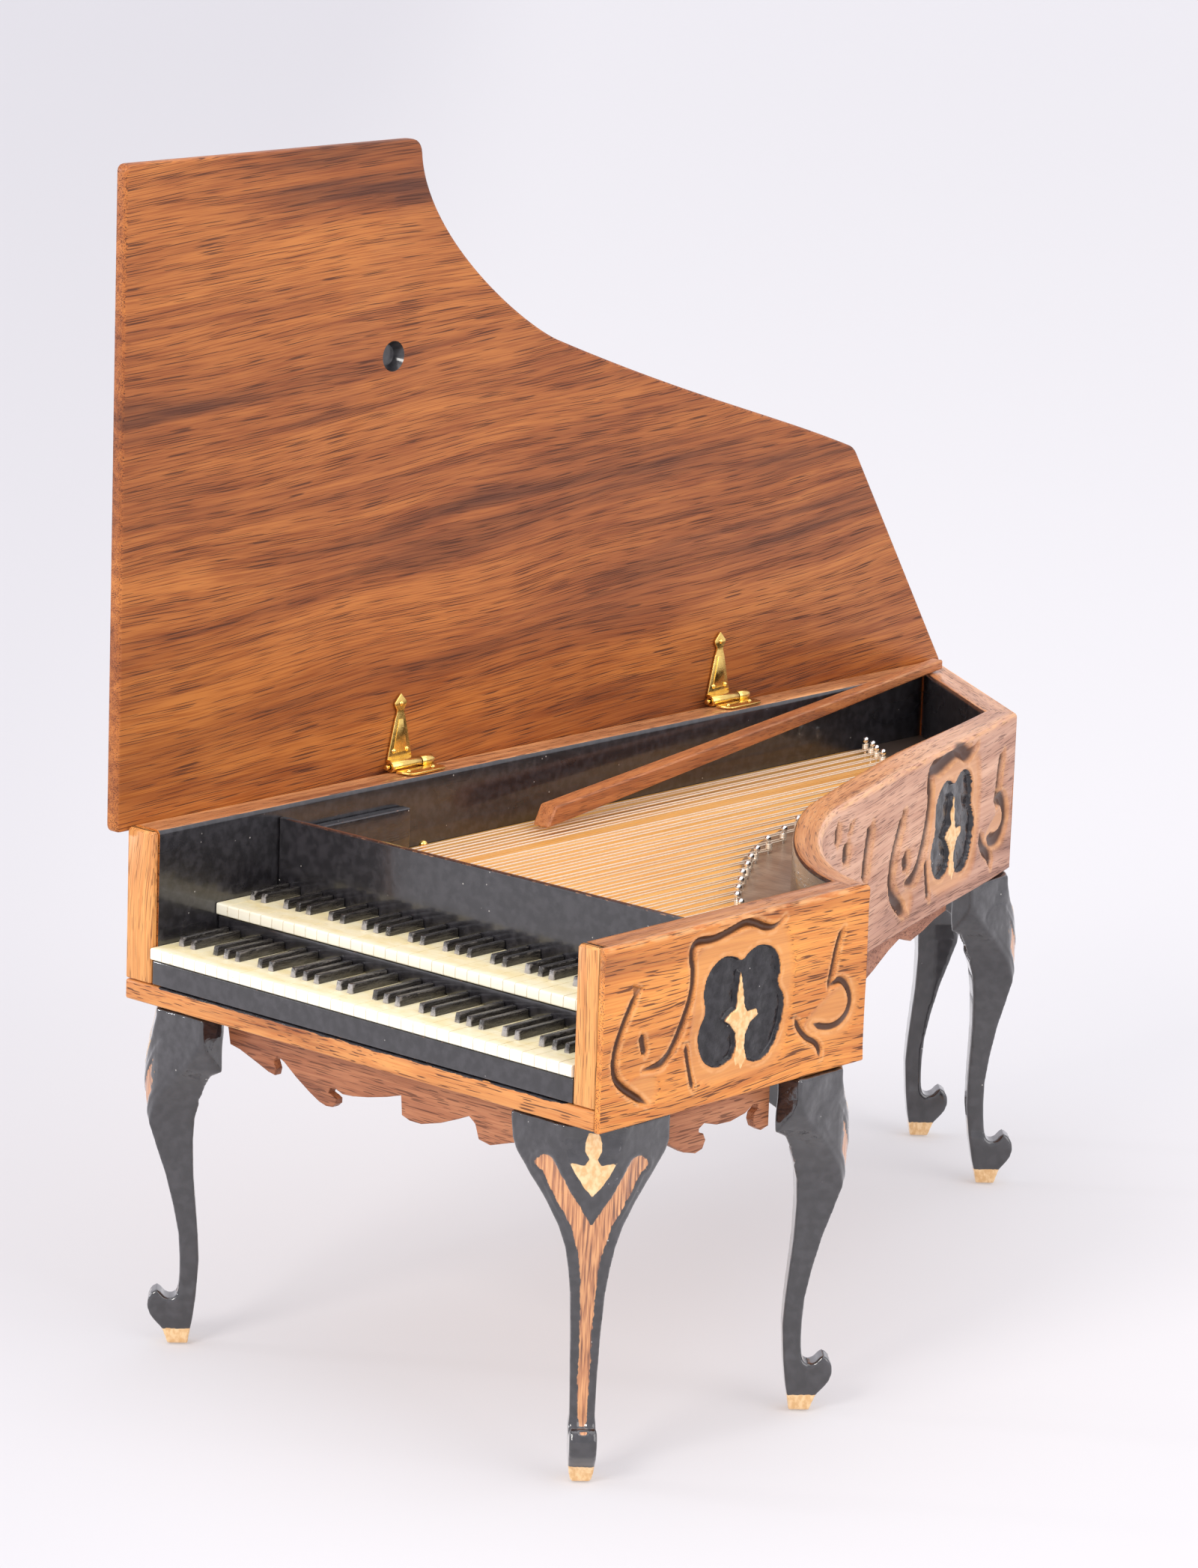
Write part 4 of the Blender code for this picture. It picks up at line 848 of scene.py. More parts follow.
def wall(name, node, outside, inside, fine, starts=(), extra=(), rabbet=True, thin=None,
         shift=(0, 0, 0), floor=BOTTOM, wood=WALNUT, broad=1.0):
    """A case wall swept along its outer and inner lines, with its carving."""
    section, outer_count = wall_profile(fine, rabbet)
    thick = np.minimum(np.linalg.norm(inside - outside, axis=1), WALL * 1.25)
    section[:, 1] = np.maximum(section[:, 1], floor)
    share = np.broadcast_to(section[:, 0], (len(outside), len(section))).copy()
    height = np.broadcast_to(section[:, 1], share.shape)
    if thin is not None:
        share[thin] = np.minimum(share[thin], SKIN / WALL)
    along = np.broadcast_to(run_along(outside)[:, None], share.shape)
    up = height - BOTTOM
    masks = blank_masks(share.shape)
    if starts:
        masks = carving(np.stack([along, up], -1), starts, extra, broad)
        masks[[0, 5], :, outer_count:] = 0
        masks[1, :, outer_count + 5:] = 0
        masks[2:4, :, outer_count:] = FAR
        swell = 0.05 * (1 + np.sin(along * 0.33 + 1) * np.sin(up * 0.41 + along * 0.07))
        swell = swell * unit((up - 0.3) / 1.5) * unit((20.2 - up) / 1.5)
        swell[:, outer_count:] = 0
        share = share + (masks[0] + swell) / thick[:, None]
    points = outside[:, None] * (1 - share[..., None]) + inside[:, None] * share[..., None]
    mesh = loft(np.concatenate([points, height[..., None]], -1))
    deep, height = (share * WALL).ravel(), height.ravel()
    attributes(mesh, grain=np.stack([along.ravel(), height, deep], 1) + np.array(shift),
               edge=near(height, RIM - 0.25, 0.45) * (deep < 1.0),
               **{label: values.ravel() for label, values in zip(MASKS[1:], masks[1:])})
    kind = np.zeros(len(section), int)            # of the materials below, for each strip
    kind[outer_count + 4:] = 1
    kind[section[:, 0] >= 1 - 0.30 / WALL] = 2
    kind[-1] = 0
    ids = np.zeros(len(mesh.polygons), int)
    strips = np.tile(kind, len(outside) - 1)
    ids[:len(strips)] = strips
    mesh.polygons.foreach_set("material_index", ids)
    finish_mesh(mesh, 84)
    piece(name, mesh, node, wood, WALNUT_RIM, INSIDE_PAINT_AND_HOLE_SHADE)


def between(a, b, share):
    """A place the given share of the way from a to b."""
    return a * (1 - share) + b * share


def trimmed(line, start=0.05, end=0.05):
    """A line made shorter by the given lengths, so that neighbouring walls don't share faces."""
    line = line.copy()
    for last, beside, amount in ((0, 1, start), (-1, -2, end)):
        step = line[beside] - line[last]
        line[last] += step / np.linalg.norm(step) * amount
    return line


CHEEK_ROWS = 290
BENT_START = 57.9                             # of the bentside's panel, along the curve
steps = np.sort(np.r_[np.linspace(0, 1, CHEEK_ROWS), SEAT / CHEEK, SEAT / CHEEK + 1e-5])
cheek_out = between(OUTSIDE[1], OUTSIDE[FIRST], steps[:, None])
cheek_in = between(INSIDE_LINE[1], INSIDE_LINE[FIRST], steps[:, None])
cheek_in[:, 1] = cheek_out[:, 1] + unit((steps - 0.8) / 0.2) * (INSIDE_LINE[FIRST][1] - CHEEK)
wall("cheek_panel", "cheek_wall", trimmed(cheek_out, start=0), trimmed(cheek_in, start=0), 132,
     starts=[0.0], thin=steps <= SEAT / CHEEK + 5e-6)

BENT_EXTRA = [
    (0.50, 0.75, [(51.9, 16.4), (51.2, 14.4), (50.4, 12.3), (49.8, 9.4)]),
    (0.40, 0.50, [(38.4, 19.2), (38.7, 18.0), (38.5, 16.6)]),
    (0.42, 0.45, [(43.4, 18.0), (43.8, 17.4)]),
    (0.46, 0.60, [(42.9, 16.0), (42.6, 14.6), (43.0, 13.4)]),
    (0.36, 0.45, [(44.8, 7.0), (46.6, 4.4), (47.9, 2.4)]),
]
wall("bentside_panel", "bentside_wall", trimmed(OUTSIDE[FIRST:LAST + 1]),
     trimmed(INSIDE_LINE[FIRST:LAST + 1]), 106, starts=[BENT_START], extra=BENT_EXTRA,
     shift=(60, 13, 5), wood=WALNUT_BENT_SHEEN, broad=2.2)
tail_lines = (trimmed(between(line[LAST], line[LAST + 1], np.linspace(0, 1, 30)[:, None]))
              for line in (OUTSIDE, INSIDE_LINE))
wall("tail_panel", "tail_wall", *tail_lines, 12, shift=(170, 4, 9))
spine_lines = (trimmed(between(line[LAST + 1], np.array([x, SEAT]),
                               np.linspace(0, 1, 60)[:, None]), end=0)
               for line, x in ((OUTSIDE, 0.0), (INSIDE_LINE, WALL)))
wall("spine_panel", "spine_wall", *spine_lines, 12, rabbet=False, shift=(-90, 31, 2),
     floor=BASE_TOP + GLUE)


# ---- base and stiles

def base_board():
    """Base whose front edge has black paint smeared over it from the key slip."""
    mesh, points = softened("base_board", 0.28, ("X", 2.0))
    x, y, z = points.T
    smear = np.clip(1 - np.abs(z - BASE_TOP) / 0.5, -1, 1) * (y < 1.0)
    smear = np.where((x > 4) & (x < 72) & (z > BASE_TOP - 0.35), smear - 0.62, -1.0)
    smear = np.where((y > 0.4) & (z > BASE_TOP - 0.1) & (x > 4.2) & (x < 71.8), 1.0, smear)
    attributes(mesh, grain=grain_along(points, "X", (0, 40, 0)), black=smear)
    piece("base_board_skin", mesh, "base_board", WALNUT_BASE)


base_board()
refined("front_stile_left", WALNUT_STILE, "Z", 0.35, (3, 8, 1))
refined("front_stile_right", WALNUT_STILE, "Z", 0.35, (61, 22, 4))
refined("belly_rail", BARE, "X", 0.1)
refined("key_bed", BARE, "X", 0.1)
refined("key_slip", BLACK, "X", 0.2, (0, 3, 0), wear=0.35, split=3.0)
refined("key_riser", BLACK, "X", 0.2, (7, 11, 0), wear=0.3, split=3.0)
refined("nameboard", BLACK_WORN, "X", 0.22, (40, 5, 3), wear=0.45, split=3.0)
refined("spine_cleat", BLACK_WORN, "Y", 0.18, (4, 4, 4), wear=0.3, split=3.0)


DECK = plan_box("soundboard")[1][2]
CHEEK_END = np.array([61.5, 50.5])            # middle of the bite in the plate


def soundboard():
    """Honey-coloured board, darkened by painted shade at the tail and round the cheek end."""
    mesh, points = softened("soundboard", 0.1, ("Y", 1.2), ("X", 1.2))
    tail_end = np.interp(points[:, 1], [127.5, 130.5], [0, 1])
    hollow = np.linalg.norm(points[:, :2] - CHEEK_END, axis=1)
    cheek_end = np.interp(points[:, 0], [55.0, 57.0], [0, 1]) * np.interp(hollow, [7, 9], [1, 0])
    attributes(mesh, grain=grain_along(points, "Y"),
               shade=np.maximum(tail_end, cheek_end) * (points[:, 2] > DECK - 0.2))
    piece("soundboard_skin", mesh, "soundboard", SPRUCE)


soundboard()
refined("nut_rail", BARE, "X", 0.12)


# ---- keyboards

KEYS = 36
SHARP_WIDTH = 0.82
SHARP_STEPS = (1, 2, 4, 5, 6)                 # joints of an octave that have a sharp over them


def naturals(node):
    """A strip of naturals with a scored joint between each two and a rounded nose."""
    (left, nose, bottom), (right, back, top) = plan_box(node)
    pitch = (right - left) / KEYS
    half, corner, score = 0.055, 0.22, 0.13
    turn = np.radians(np.linspace(0, 90, 5))
    section = [(nose + corner * (1 - math.sin(a)), bottom + corner * (1 - math.cos(a)))
               for a in turn]
    section += [(nose + corner * (1 - math.cos(a)), top - corner * (1 - math.sin(a)))
                for a in turn]
    section += [(y, top) for y in np.linspace(nose + 1.5, back, 7)]
    section = np.array(section + [(back, bottom)])
    stations = []                                 # place along the strip, joint or not, lift
    for key in range(KEYS):
        lift = rng.normal(0, 0.018)
        stations += [(left + key * pitch + offset, joint, lift) for offset, joint in
                     ((half, 0), (pitch / 2, 0), (pitch - half, 0), (pitch, 1))]
    stations = np.array(stations[:-1])
    stations[[0, -1], 0] = left, right
    middle = np.array([back, (top + bottom) / 2])
    free = section[:, 0] < back - 0.1
    upper = (section[:, 1] > middle[1]) & (section[:, 0] < back)
    rings = []
    for x, joint, lift in stations:
        ring = section.copy()
        ring[free] += np.sign(middle - section[free]) * score * joint
        ring[upper, 1] += lift
        rings.append(np.column_stack([np.full(len(ring), x), ring]))
    mesh = loft(np.array(rings))
    points = coordinates(mesh)
    # front: how much of the painted highlight along the nose each point gets.
    attributes(mesh, grain=points + (0, 17.0 if "upper" in node else 0.0, 0),
               joint=np.repeat(stations[:, 1], len(section)),
               front=unit(1 - (points[:, 1] - nose) / 0.5))
    finish_mesh(mesh, 45)
    piece(node + "_keys", mesh, node, IVORY)
    return left, pitch, top


def sharps(node, left, pitch, deck):
    """Separate sharps with a sloping nose, softened edges, rubbed paint and a painted highlight on
    the nose.
    """
    low, high = plan_box(node)
    bm = bmesh.new()
    centres = np.array([left - 0.12 + pitch * (7 * octave + step) for octave in range(5)
                        for step in SHARP_STEPS])
    for x in centres:
        lean = rng.normal(0, 0.035)
        tall = high[2] + rng.normal(0, 0.03)
        front = low[1] + rng.normal(0, 0.10)
        for vert in bmesh.ops.create_cube(bm, size=1.0)["verts"]:
            up, far = vert.co.z > 0, vert.co.y > 0
            y = high[1] if far else front + (0.16 if up else 0.0)
            across = vert.co.x * SHARP_WIDTH * (0.80 if up else 1.0)
            vert.co = x + across + (lean if far else 0), y, tall if up else deck - 0.05
    mesh = evaluated(mesh_from(bm), bevelled(0.11, 30))
    cut_along(mesh, "Y", 0.8)
    finish_mesh(mesh, 60)
    points = coordinates(mesh)
    nearest = centres[np.abs(points[:, :1] - centres[None]).argmin(1)]
    upper = (points[:, 2] - low[2]) / (high[2] - low[2])
    edge = unit((np.abs(points[:, 0] - nearest) - 0.24) / 0.1) * unit((upper - 0.78) / 0.15)
    nose = unit(1 - (points[:, 1] - low[1]) / 0.45)
    # nose: where the painted highlight lies. It also adds to the edge wear at the nose.
    attributes(mesh, grain=grain_along(points, "Y") + nearest[:, None] * (7, 0, 0),
               edge=unit(edge * 0.75 + nose * 0.55), nose=nose * unit(1.3 - upper * 0.6))
    piece(node + "_keys", mesh, node, SHARP)


for manual in ("lower", "upper"):
    left, pitch, deck = naturals(f"{manual}_naturals")
    sharps(f"{manual}_sharps", left, pitch, deck)


# ---- strings and pins

TREBLE = dict(start=17.6, pitch=1.15, count=34)
BASS = dict(start=7.8, pitch=1.05, count=8)
STRING_Z = plan_box("treble_strings")[0][2] + 0.17
STRING_R = 0.11
PIN_TOP = plan_box("treble_hitch_pins")[1][2]
SETBACK = np.interp(PIECES, [0.38, 0.61], [9.8, 12.0])
PIN_LINE = outline(bent=SETBACK, tail=16.2)[FIRST:LAST + 2]    # the pins stand on this
FRONT_Y = plan_box("treble_strings")[0][1] + 0.2
HEAD = 0.43                                   # radius of a pin's ball
PIN_RADIUS = 0.2
PIN_SIDES = 14
THREAD_SIDES = 8
TURN_RADIUS = 0.13                            # of the thread where it is wound round a pin


def pins_of(start, pitch, count):
    """Places of a row's pins, one for each pair of runs."""
    xs = start + pitch * (2 * np.arange(count // 2) + 0.5)
    return np.array([(x, np.interp(x, PIN_LINE[::-1, 0], PIN_LINE[::-1, 1])) for x in xs])


def tube(path, radius, sides):
    """Mesh of a round tube along a path."""
    ahead = np.gradient(path, axis=0)
    ahead /= np.linalg.norm(ahead, axis=1)[:, None]
    side = np.cross(ahead, (0, 0, 1.0))
    side /= np.linalg.norm(side, axis=1)[:, None]
    up = np.cross(side, ahead)
    angles = np.linspace(0, 2 * math.pi, sides, endpoint=False)
    return loft(path[:, None] + radius * (np.cos(angles)[None, :, None] * side[:, None]
                                          + np.sin(angles)[None, :, None] * up[:, None]))


def strings(node, start, pitch, count):
    """Thread laced up and down, wound round each pin, with a hairpin turn in front."""
    parts = []
    gap = PIN_RADIUS + STRING_R
    span = np.linspace(0, 1, 26)
    bow = np.sin(span * math.pi)
    turn = np.radians(np.linspace(165, 15, 9))
    for x, y in pins_of(start, pitch, count):
        sag = rng.normal(0, 0.02)
        left = x - pitch / 2
        down = np.column_stack([left + (x - gap - left) * span ** 1.3,
                                FRONT_Y + (y - FRONT_Y) * span, STRING_Z + sag * bow])
        loop = np.column_stack([x + gap * np.cos(turn), y + gap * np.sin(turn),
                                np.full(len(turn), STRING_Z + 0.02)])
        back = down[::-1].copy()
        back[:, 0] = 2 * x - back[:, 0]
        for line, wobble in zip((down, back), rng.normal(0, 0.03, 2)):
            line[:, 0] += wobble * bow
        parts += [down, loop, back]
    path = np.vstack(parts)
    mesh = tube(path, STRING_R, THREAD_SIDES)
    points = coordinates(mesh)
    attributes(mesh, grain=np.column_stack([np.repeat(run_along(path), THREAD_SIDES),
                                            points[:, 0], points[:, 2]]))
    finish_mesh(mesh, 60)
    piece(node + "_thread", mesh, node, THREAD)


def pin_shape():
    """Profile of a ball-headed pin from its foot to its crown, (radius, height)."""
    head = PIN_TOP - HEAD
    shank = [(0.0, DECK - 0.3), (PIN_RADIUS, DECK - 0.3), (PIN_RADIUS, DECK + 1.5),
             (PIN_RADIUS, head - HEAD * 0.92)]
    return np.array(shank + [(max(HEAD * math.cos(a), 0.0), head + HEAD * math.sin(a))
                             for a in np.radians(np.linspace(-62, 90, 10))])


def pins(node, start, pitch, count):
    """Ball-headed pins, each leaning its own way."""
    angles = np.linspace(0, 2 * math.pi, PIN_SIDES, endpoint=False)
    meshes = []
    for x, y in pins_of(start, pitch, count):
        tilt = rng.normal(0, 0.05, 2)
        meshes.append(loft(np.array([
            [(x + (z - DECK) * tilt[0] + radius * math.cos(a),
              y + (z - DECK) * tilt[1] + radius * math.sin(a), z) for a in angles]
            for radius, z in pin_shape()]), caps=False))
    grained(node + "_wire", merged(meshes), node, STEEL, angle=60)


def windings(node, start, pitch, count):
    """The thread's turns round each pin above the strings."""
    radius = PIN_RADIUS + TURN_RADIUS
    turns = np.linspace(0, 2 * math.pi * 3.3, 52)
    rise = np.linspace(STRING_Z + 0.1, STRING_Z + 0.85, len(turns))
    mesh = merged([tube(np.column_stack([x + radius * np.cos(turns + number),
                                         y + radius * np.sin(turns + number), rise]),
                        TURN_RADIUS, 6)
                   for number, (x, y) in enumerate(pins_of(start, pitch, count))])
    finish_mesh(mesh, 60)
    attributes(mesh, grain=coordinates(mesh) * (3, 3, 3))
    obj = in_frame(node + "_windings", mesh, THREAD)
    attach(obj, "case")


for label, row in (("treble", TREBLE), ("bass", BASS)):
    strings(f"{label}_strings", **row)
    pins(f"{label}_hitch_pins", **row)
    windings(f"{label}_hitch_pins", **row)


# ---- flat cut-outs

def cut_out(points, low, high, plane, bevel, resolution):
    """A sheet cut to an outline, with rounded edges, from low to high along the plane's normal."""
    curve = bpy.data.curves.new("work", "CURVE")
    curve.dimensions = "2D"
    curve.fill_mode = "BOTH"
    curve.extrude = (high - low) / 2 - bevel
    curve.bevel_depth = bevel
    curve.bevel_resolution = resolution
    curve.offset = -bevel
    spline = curve.splines.new("POLY")
    spline.points.add(len(points) - 1)
    for slot, (x, y) in zip(spline.points, points):
        slot.co = (x, y, 0, 1)
    spline.use_cyclic_u = True
    mesh = evaluated(curve)
    normal = plane.to_3x3() @ Vector((0, 0, 1))
    mesh.transform(Matrix.Translation(normal * ((low + high) / 2)) @ plane)
    return mesh


PLAN = Matrix.Identity(4)
FRONT = Matrix.Rotation(math.radians(90), 4, "X")
SIDE = Matrix(((0, 0, 1, 0), (1, 0, 0, 0), (0, 1, 0, 0), (0, 0, 0, 1)))


def plate():
    """Veneer band that holds the pins, hollowed by a round bite near the cheek."""
    reach = np.interp(PIECES, [0.0, 0.4, 0.55, 0.9, 1.0], [9.0, 9.8, 14.2, 15.4, 13.5])
    near_side, far_side = bent_line(BENT_WALL + 0.1), bent_line(reach)
    keep = slice(int(len(near_side) * 0.06), int(len(near_side) * 0.95))
    low, high = plan_box("hitch_pin_plate")
    mesh = cut_out(np.vstack([near_side[keep], far_side[keep][::-1]]), low[2], high[2], PLAN,
                   0.06, 1)
    grained("hitch_pin_plate_veneer", mesh, "hitch_pin_plate", PLATE)


plate()


# ---- lid

def round_corner(points, index, radius):
    """A closed outline with one corner rounded."""
    corner = points[index]
    before, after = index - 1, (index + 1) % len(points)
    while np.linalg.norm(points[before] - corner) < radius * 1.05:
        before -= 1
    while np.linalg.norm(points[after] - corner) < radius * 1.05:
        after = (after + 1) % len(points)
    a, b = (corner + (points[i] - corner) / np.linalg.norm(points[i] - corner) * radius
            for i in (before, after))
    t = np.linspace(0, 1, 7)[:, None]
    arc = a * (1 - t) ** 2 + corner * 2 * t * (1 - t) + b * t ** 2
    return np.vstack([points[:before % len(points) + 1] if index else points[:0], arc,
                      points[after:] if after > index else points[:0]])


HOLE = np.array([52.0, 43.6])                 # middle of the hole in the lid, when shut
HOLE_EDGE = 1.93
LID_RADII = ((LAST + 1, 1.3), (LAST, 1.0), (FIRST, 1.8), (1, 1.0), (0, 1.0))


def lid():
    """The lid as it lies when shut, bored on its underside with black paint in the hole as painted
    shade, then turned up to its rest.
    """
    low, high = plan_box("lid")
    drop = AXIS_Z - low[2]                    # below the axis, where the lid overhangs the spine
    shape = outline(front=-1.6, cheek=-2.3, bent=-2.3, tail=-1.2, spine=-(drop - AXIS_X))
    for corner, radius in LID_RADII:
        shape = round_corner(shape, corner, radius)
    face = AXIS_Z + AXIS_X - high[0]          # underside of the lid when shut
    mesh = cut_out(shape, face, face + high[0] - low[0], PLAN, 0.45, 3)
    bm = bmesh.new()
    bmesh.ops.create_cone(bm, cap_ends=True, segments=40, radius1=2.15, radius2=1.25, depth=1.7)
    bmesh.ops.translate(bm, vec=(*HOLE, face + 0.35), verts=bm.verts)
    finish_mesh(mesh)
    mesh = boolean(mesh, mesh_from(bm), "DIFFERENCE")
    finish_mesh(mesh)
    x, y, z = coordinates(mesh).T
    attributes(mesh, grain=np.stack([y * 0.998 + x * 0.06, x * 0.998 - y * 0.06, z], 1)
               + (300, 26, 0))
    # Painted shade: the faces inside the hole get the black inside paint.
    in_hole = np.hypot(x - HOLE[0], y - HOLE[1]) < HOLE_EDGE
    hole_shade = [in_hole[list(polygon.vertices)].all() for polygon in mesh.polygons]
    mesh.polygons.foreach_set("material_index", np.array(hole_shade, int))
    axis = Vector((AXIS_X, 0, AXIS_Z))
    mesh.transform(Matrix.Translation(axis) @ Matrix.Rotation(math.radians(-90), 4, "Y")
                   @ Matrix.Translation(-axis))
    piece("lid_board", mesh, "lid", WALNUT_LID, INSIDE_PAINT_AND_HOLE_SHADE)


lid()


# ---- hinges

SHEET = 0.30                                  # thickness of the brass
BORE, BARREL = 0.35, 0.7                      # radii of a knuckle
KNUCKLE = 2.0                                 # length of the leaf's knuckle
ABOUT_AXIS = Matrix.Translation((AXIS_X, 0, AXIS_Z)) @ Matrix.Rotation(math.radians(-90), 4, "X")
STRAP_HALF = [(2.15, -0.05), (2.02, 0.5), (1.7, 1.8), (0.92, 4.9), (0.62, 5.7), (0.62, 6.1),
              (0.98, 6.6), (1.08, 7.0), (0.72, 7.4), (0.25, 7.9), (0.0, 8.15)]
RIDGE_HALF = [(1.25, 0.75), (0.35, 4.9)]
NAIL = [(0.0, 0.26), (0.16, 0.23), (0.27, 0.14), (0.33, 0.0), (0.0, -0.02)]


def brass_part(node, *meshes):
    """The look of a brass node from several meshes."""
    grained(node + "_brass", merged(meshes), node, BRASS, "Y", angle=45)


def both_sides(half):
    """Closed outline from its right half, mirrored about zero."""
    return half + [(-w, z) for w, z in reversed(half)]


def knuckle(low, high):
    """Rolled barrel of a hinge about its axis."""
    section = [(BARREL - 0.08, low), (BARREL, low + 0.08), (BARREL, high - 0.08),
               (BARREL - 0.08, high), (BORE, high), (BORE, low)]
    mesh = turned(section + section[:1], 28)
    mesh.transform(ABOUT_AXIS)
    return mesh


def strap(label):
    """The lid's half of a hinge: a tapering strap, embossed, and the shelf to its knuckle."""
    low, high = plan_box(f"{label}_hinge_strap")
    y, sheet = (low[1] + high[1]) / 2, low[0]
    base = AXIS_Z + 0.7

    def flat(half, start, stop, bevel):
        outlined = [(y + w, base + h) for w, h in both_sides(half)]
        return cut_out(outlined, sheet + start, sheet + stop, SIDE, bevel, 1)

    shelf = bmesh.new()
    bmesh.ops.create_cube(shelf, size=1.0)
    bmesh.ops.scale(shelf, vec=(AXIS_X - sheet, high[1] - low[1] - 0.9, SHEET),
                    verts=shelf.verts)
    bmesh.ops.translate(shelf, vec=((AXIS_X + sheet) / 2, y, base - SHEET / 2),
                        verts=shelf.verts)
    brass_part(f"{label}_hinge_strap", flat(STRAP_HALF, 0, SHEET, 0.07),
               flat(RIDGE_HALF, SHEET - 0.02, SHEET + 0.1, 0.045), mesh_from(shelf),
               knuckle(low[1], high[1]))


def leaf(label):
    """The case's half of a hinge, let in flat on the spine."""
    low, high = plan_box(f"{label}_hinge_leaf")
    edge, inside = AXIS_X + 0.85, WALL - 0.3
    plan = [(AXIS_X, high[1] - KNUCKLE), (edge, high[1] - KNUCKLE), (edge, low[1]),
            (inside - 0.4, low[1] + 0.3), (inside, low[1] + 0.9), (inside, high[1] - 0.7),
            (inside - 0.5, high[1] - 0.1), (AXIS_X, high[1])]
    brass_part(f"{label}_hinge_leaf", cut_out(plan, low[2], low[2] + SHEET, PLAN, 0.07, 1),
               knuckle(high[1] - KNUCKLE, high[1]))


def hinge(label):
    """Both halves of a hinge, its pin and its domed nails."""
    strap(label)
    leaf(label)
    low, high = plan_box(f"{label}_hinge_pin")
    rod = turned([(0.0, low[1]), (0.30, low[1] + 0.05), (0.34, low[1] + 0.2),
                  (0.30, low[1] + 0.35), (0.26, low[1] + 0.45), (0.26, high[1] - 0.2),
                  (0.2, high[1]), (0.0, high[1])])
    rod.transform(ABOUT_AXIS)
    brass_part(f"{label}_hinge_pin", rod)
    for nail in sorted(n for n in NODES if n.startswith(label) and "nail" in n):
        low, high = plan_box(nail)
        x, y, z = (low + high) / 2
        head = turned(NAIL, 14)
        if "strap" in nail:
            head.transform(Matrix.Translation((low[0] - 0.06, y, z))
                           @ Matrix.Rotation(math.radians(90), 4, "Y"))
        else:
            head.transform(Matrix.Translation((x, y, low[2] - 0.06)))
        brass_part(nail, head)


hinge("front")
hinge("rear")


def bead():
    low, high = plan_box("brass_bead")
    radius = 0.55
    x, y, z = (low + high) / 2
    ball = [(radius * math.cos(a), z + radius * math.sin(a))
            for a in np.radians(np.linspace(80, -70, 12))]
    mesh = turned([(0.0, high[2])] + ball + [(0.0, low[2])], 24)
    mesh.transform(Matrix.Translation((x, y, 0)))
    brass_part("brass_bead", mesh)


bead()


# ---- prop stick

refined("prop_stick", WALNUT_STICK, "Y", 0.16, (11, 3, 60), wear=0.3)


# ---- aprons

def apron(name, node, edge, axis):
    """A flat apron with a straight top and a softened hanging edge, (along, down)."""
    along = "XY".index(axis)
    low, high = plan_box(node)
    plane, near_face, far_face = ((FRONT, -high[1], -low[1]) if axis == "X"
                                  else (SIDE, low[0], high[0]))
    top = BOTTOM - GLUE
    points = [(low[along], top)] + [(x, top + z) for x, z in edge] + [(high[along], top)]
    mesh = cut_out(points, near_face, far_face, plane, 0.16, 2)
    grained(name, mesh, node, WALNUT_APRON, axis, (33, 50, 0))


FRONT_EDGE = [(14.4, -3.2), (16.0, -3.5), (18.6, -4.4), (20.8, -5.2), (21.9, -5.4), (22.1, -4.6),
              (21.7, -3.7), (22.3, -3.0), (23.4, -3.5), (25.4, -4.9), (27.6, -6.2), (29.2, -7.0),
              (30.4, -7.3), (31.4, -7.2), (32.0, -6.7), (32.0, -6.1), (31.4, -5.8), (30.8, -5.6),
              (31.0, -5.0), (31.8, -4.9), (33.0, -5.3), (34.6, -5.2), (37.0, -4.8), (40.0, -4.1),
              (42.3, -3.4), (42.4, -4.4), (42.5, -5.7), (43.8, -6.1), (45.6, -6.1), (48.6, -5.3),
              (51.4, -4.2), (53.0, -3.5), (54.0, -4.2), (54.6, -5.9), (56.4, -6.2),
              (59.6, -5.2), (61.6, -4.7)]
apron("front_apron_board", "front_apron", FRONT_EDGE, "X")
CHEEK_EDGE = [(13.9, -3.6), (16.3, -5.3), (18.4, -6.4), (20.4, -6.9), (21.6, -6.6), (22.1, -5.6),
              (21.7, -4.8), (20.9, -4.6), (20.9, -4.1), (21.8, -3.6), (24.0, -4.2), (26.4, -4.3),
              (29.0, -3.8), (30.4, -3.0), (31.2, -3.1), (31.2, -3.7), (30.6, -4.1), (30.4, -4.9),
              (30.8, -5.8), (31.9, -6.4), (33.2, -6.1)]
apron("cheek_apron_board", "cheek_apron", CHEEK_EDGE, "Y")
BENT_APRON = (3.4, 4.6)                       # its faces, inwards from the outline
BENT_EDGE = np.array([
    (0, 3.0), (1.5, 3.2), (6, 4.1), (12, 5.8), (15.5, 6.9), (16.0, 5.2), (16.6, 3.8), (21, 5.0),
    (25.5, 6.6), (28.0, 7.3), (29.4, 7.2), (30.2, 5.6), (31.0, 4.8), (34, 4.9), (38, 4.2),
    (42, 3.6), (45.4, 3.4), (46.0, 5.8), (47.0, 6.3), (51, 5.4), (56, 4.0), (60, 3.2), (64, 4.4),
    (68, 4.0), (72, 3.3), (76, 3.0)])


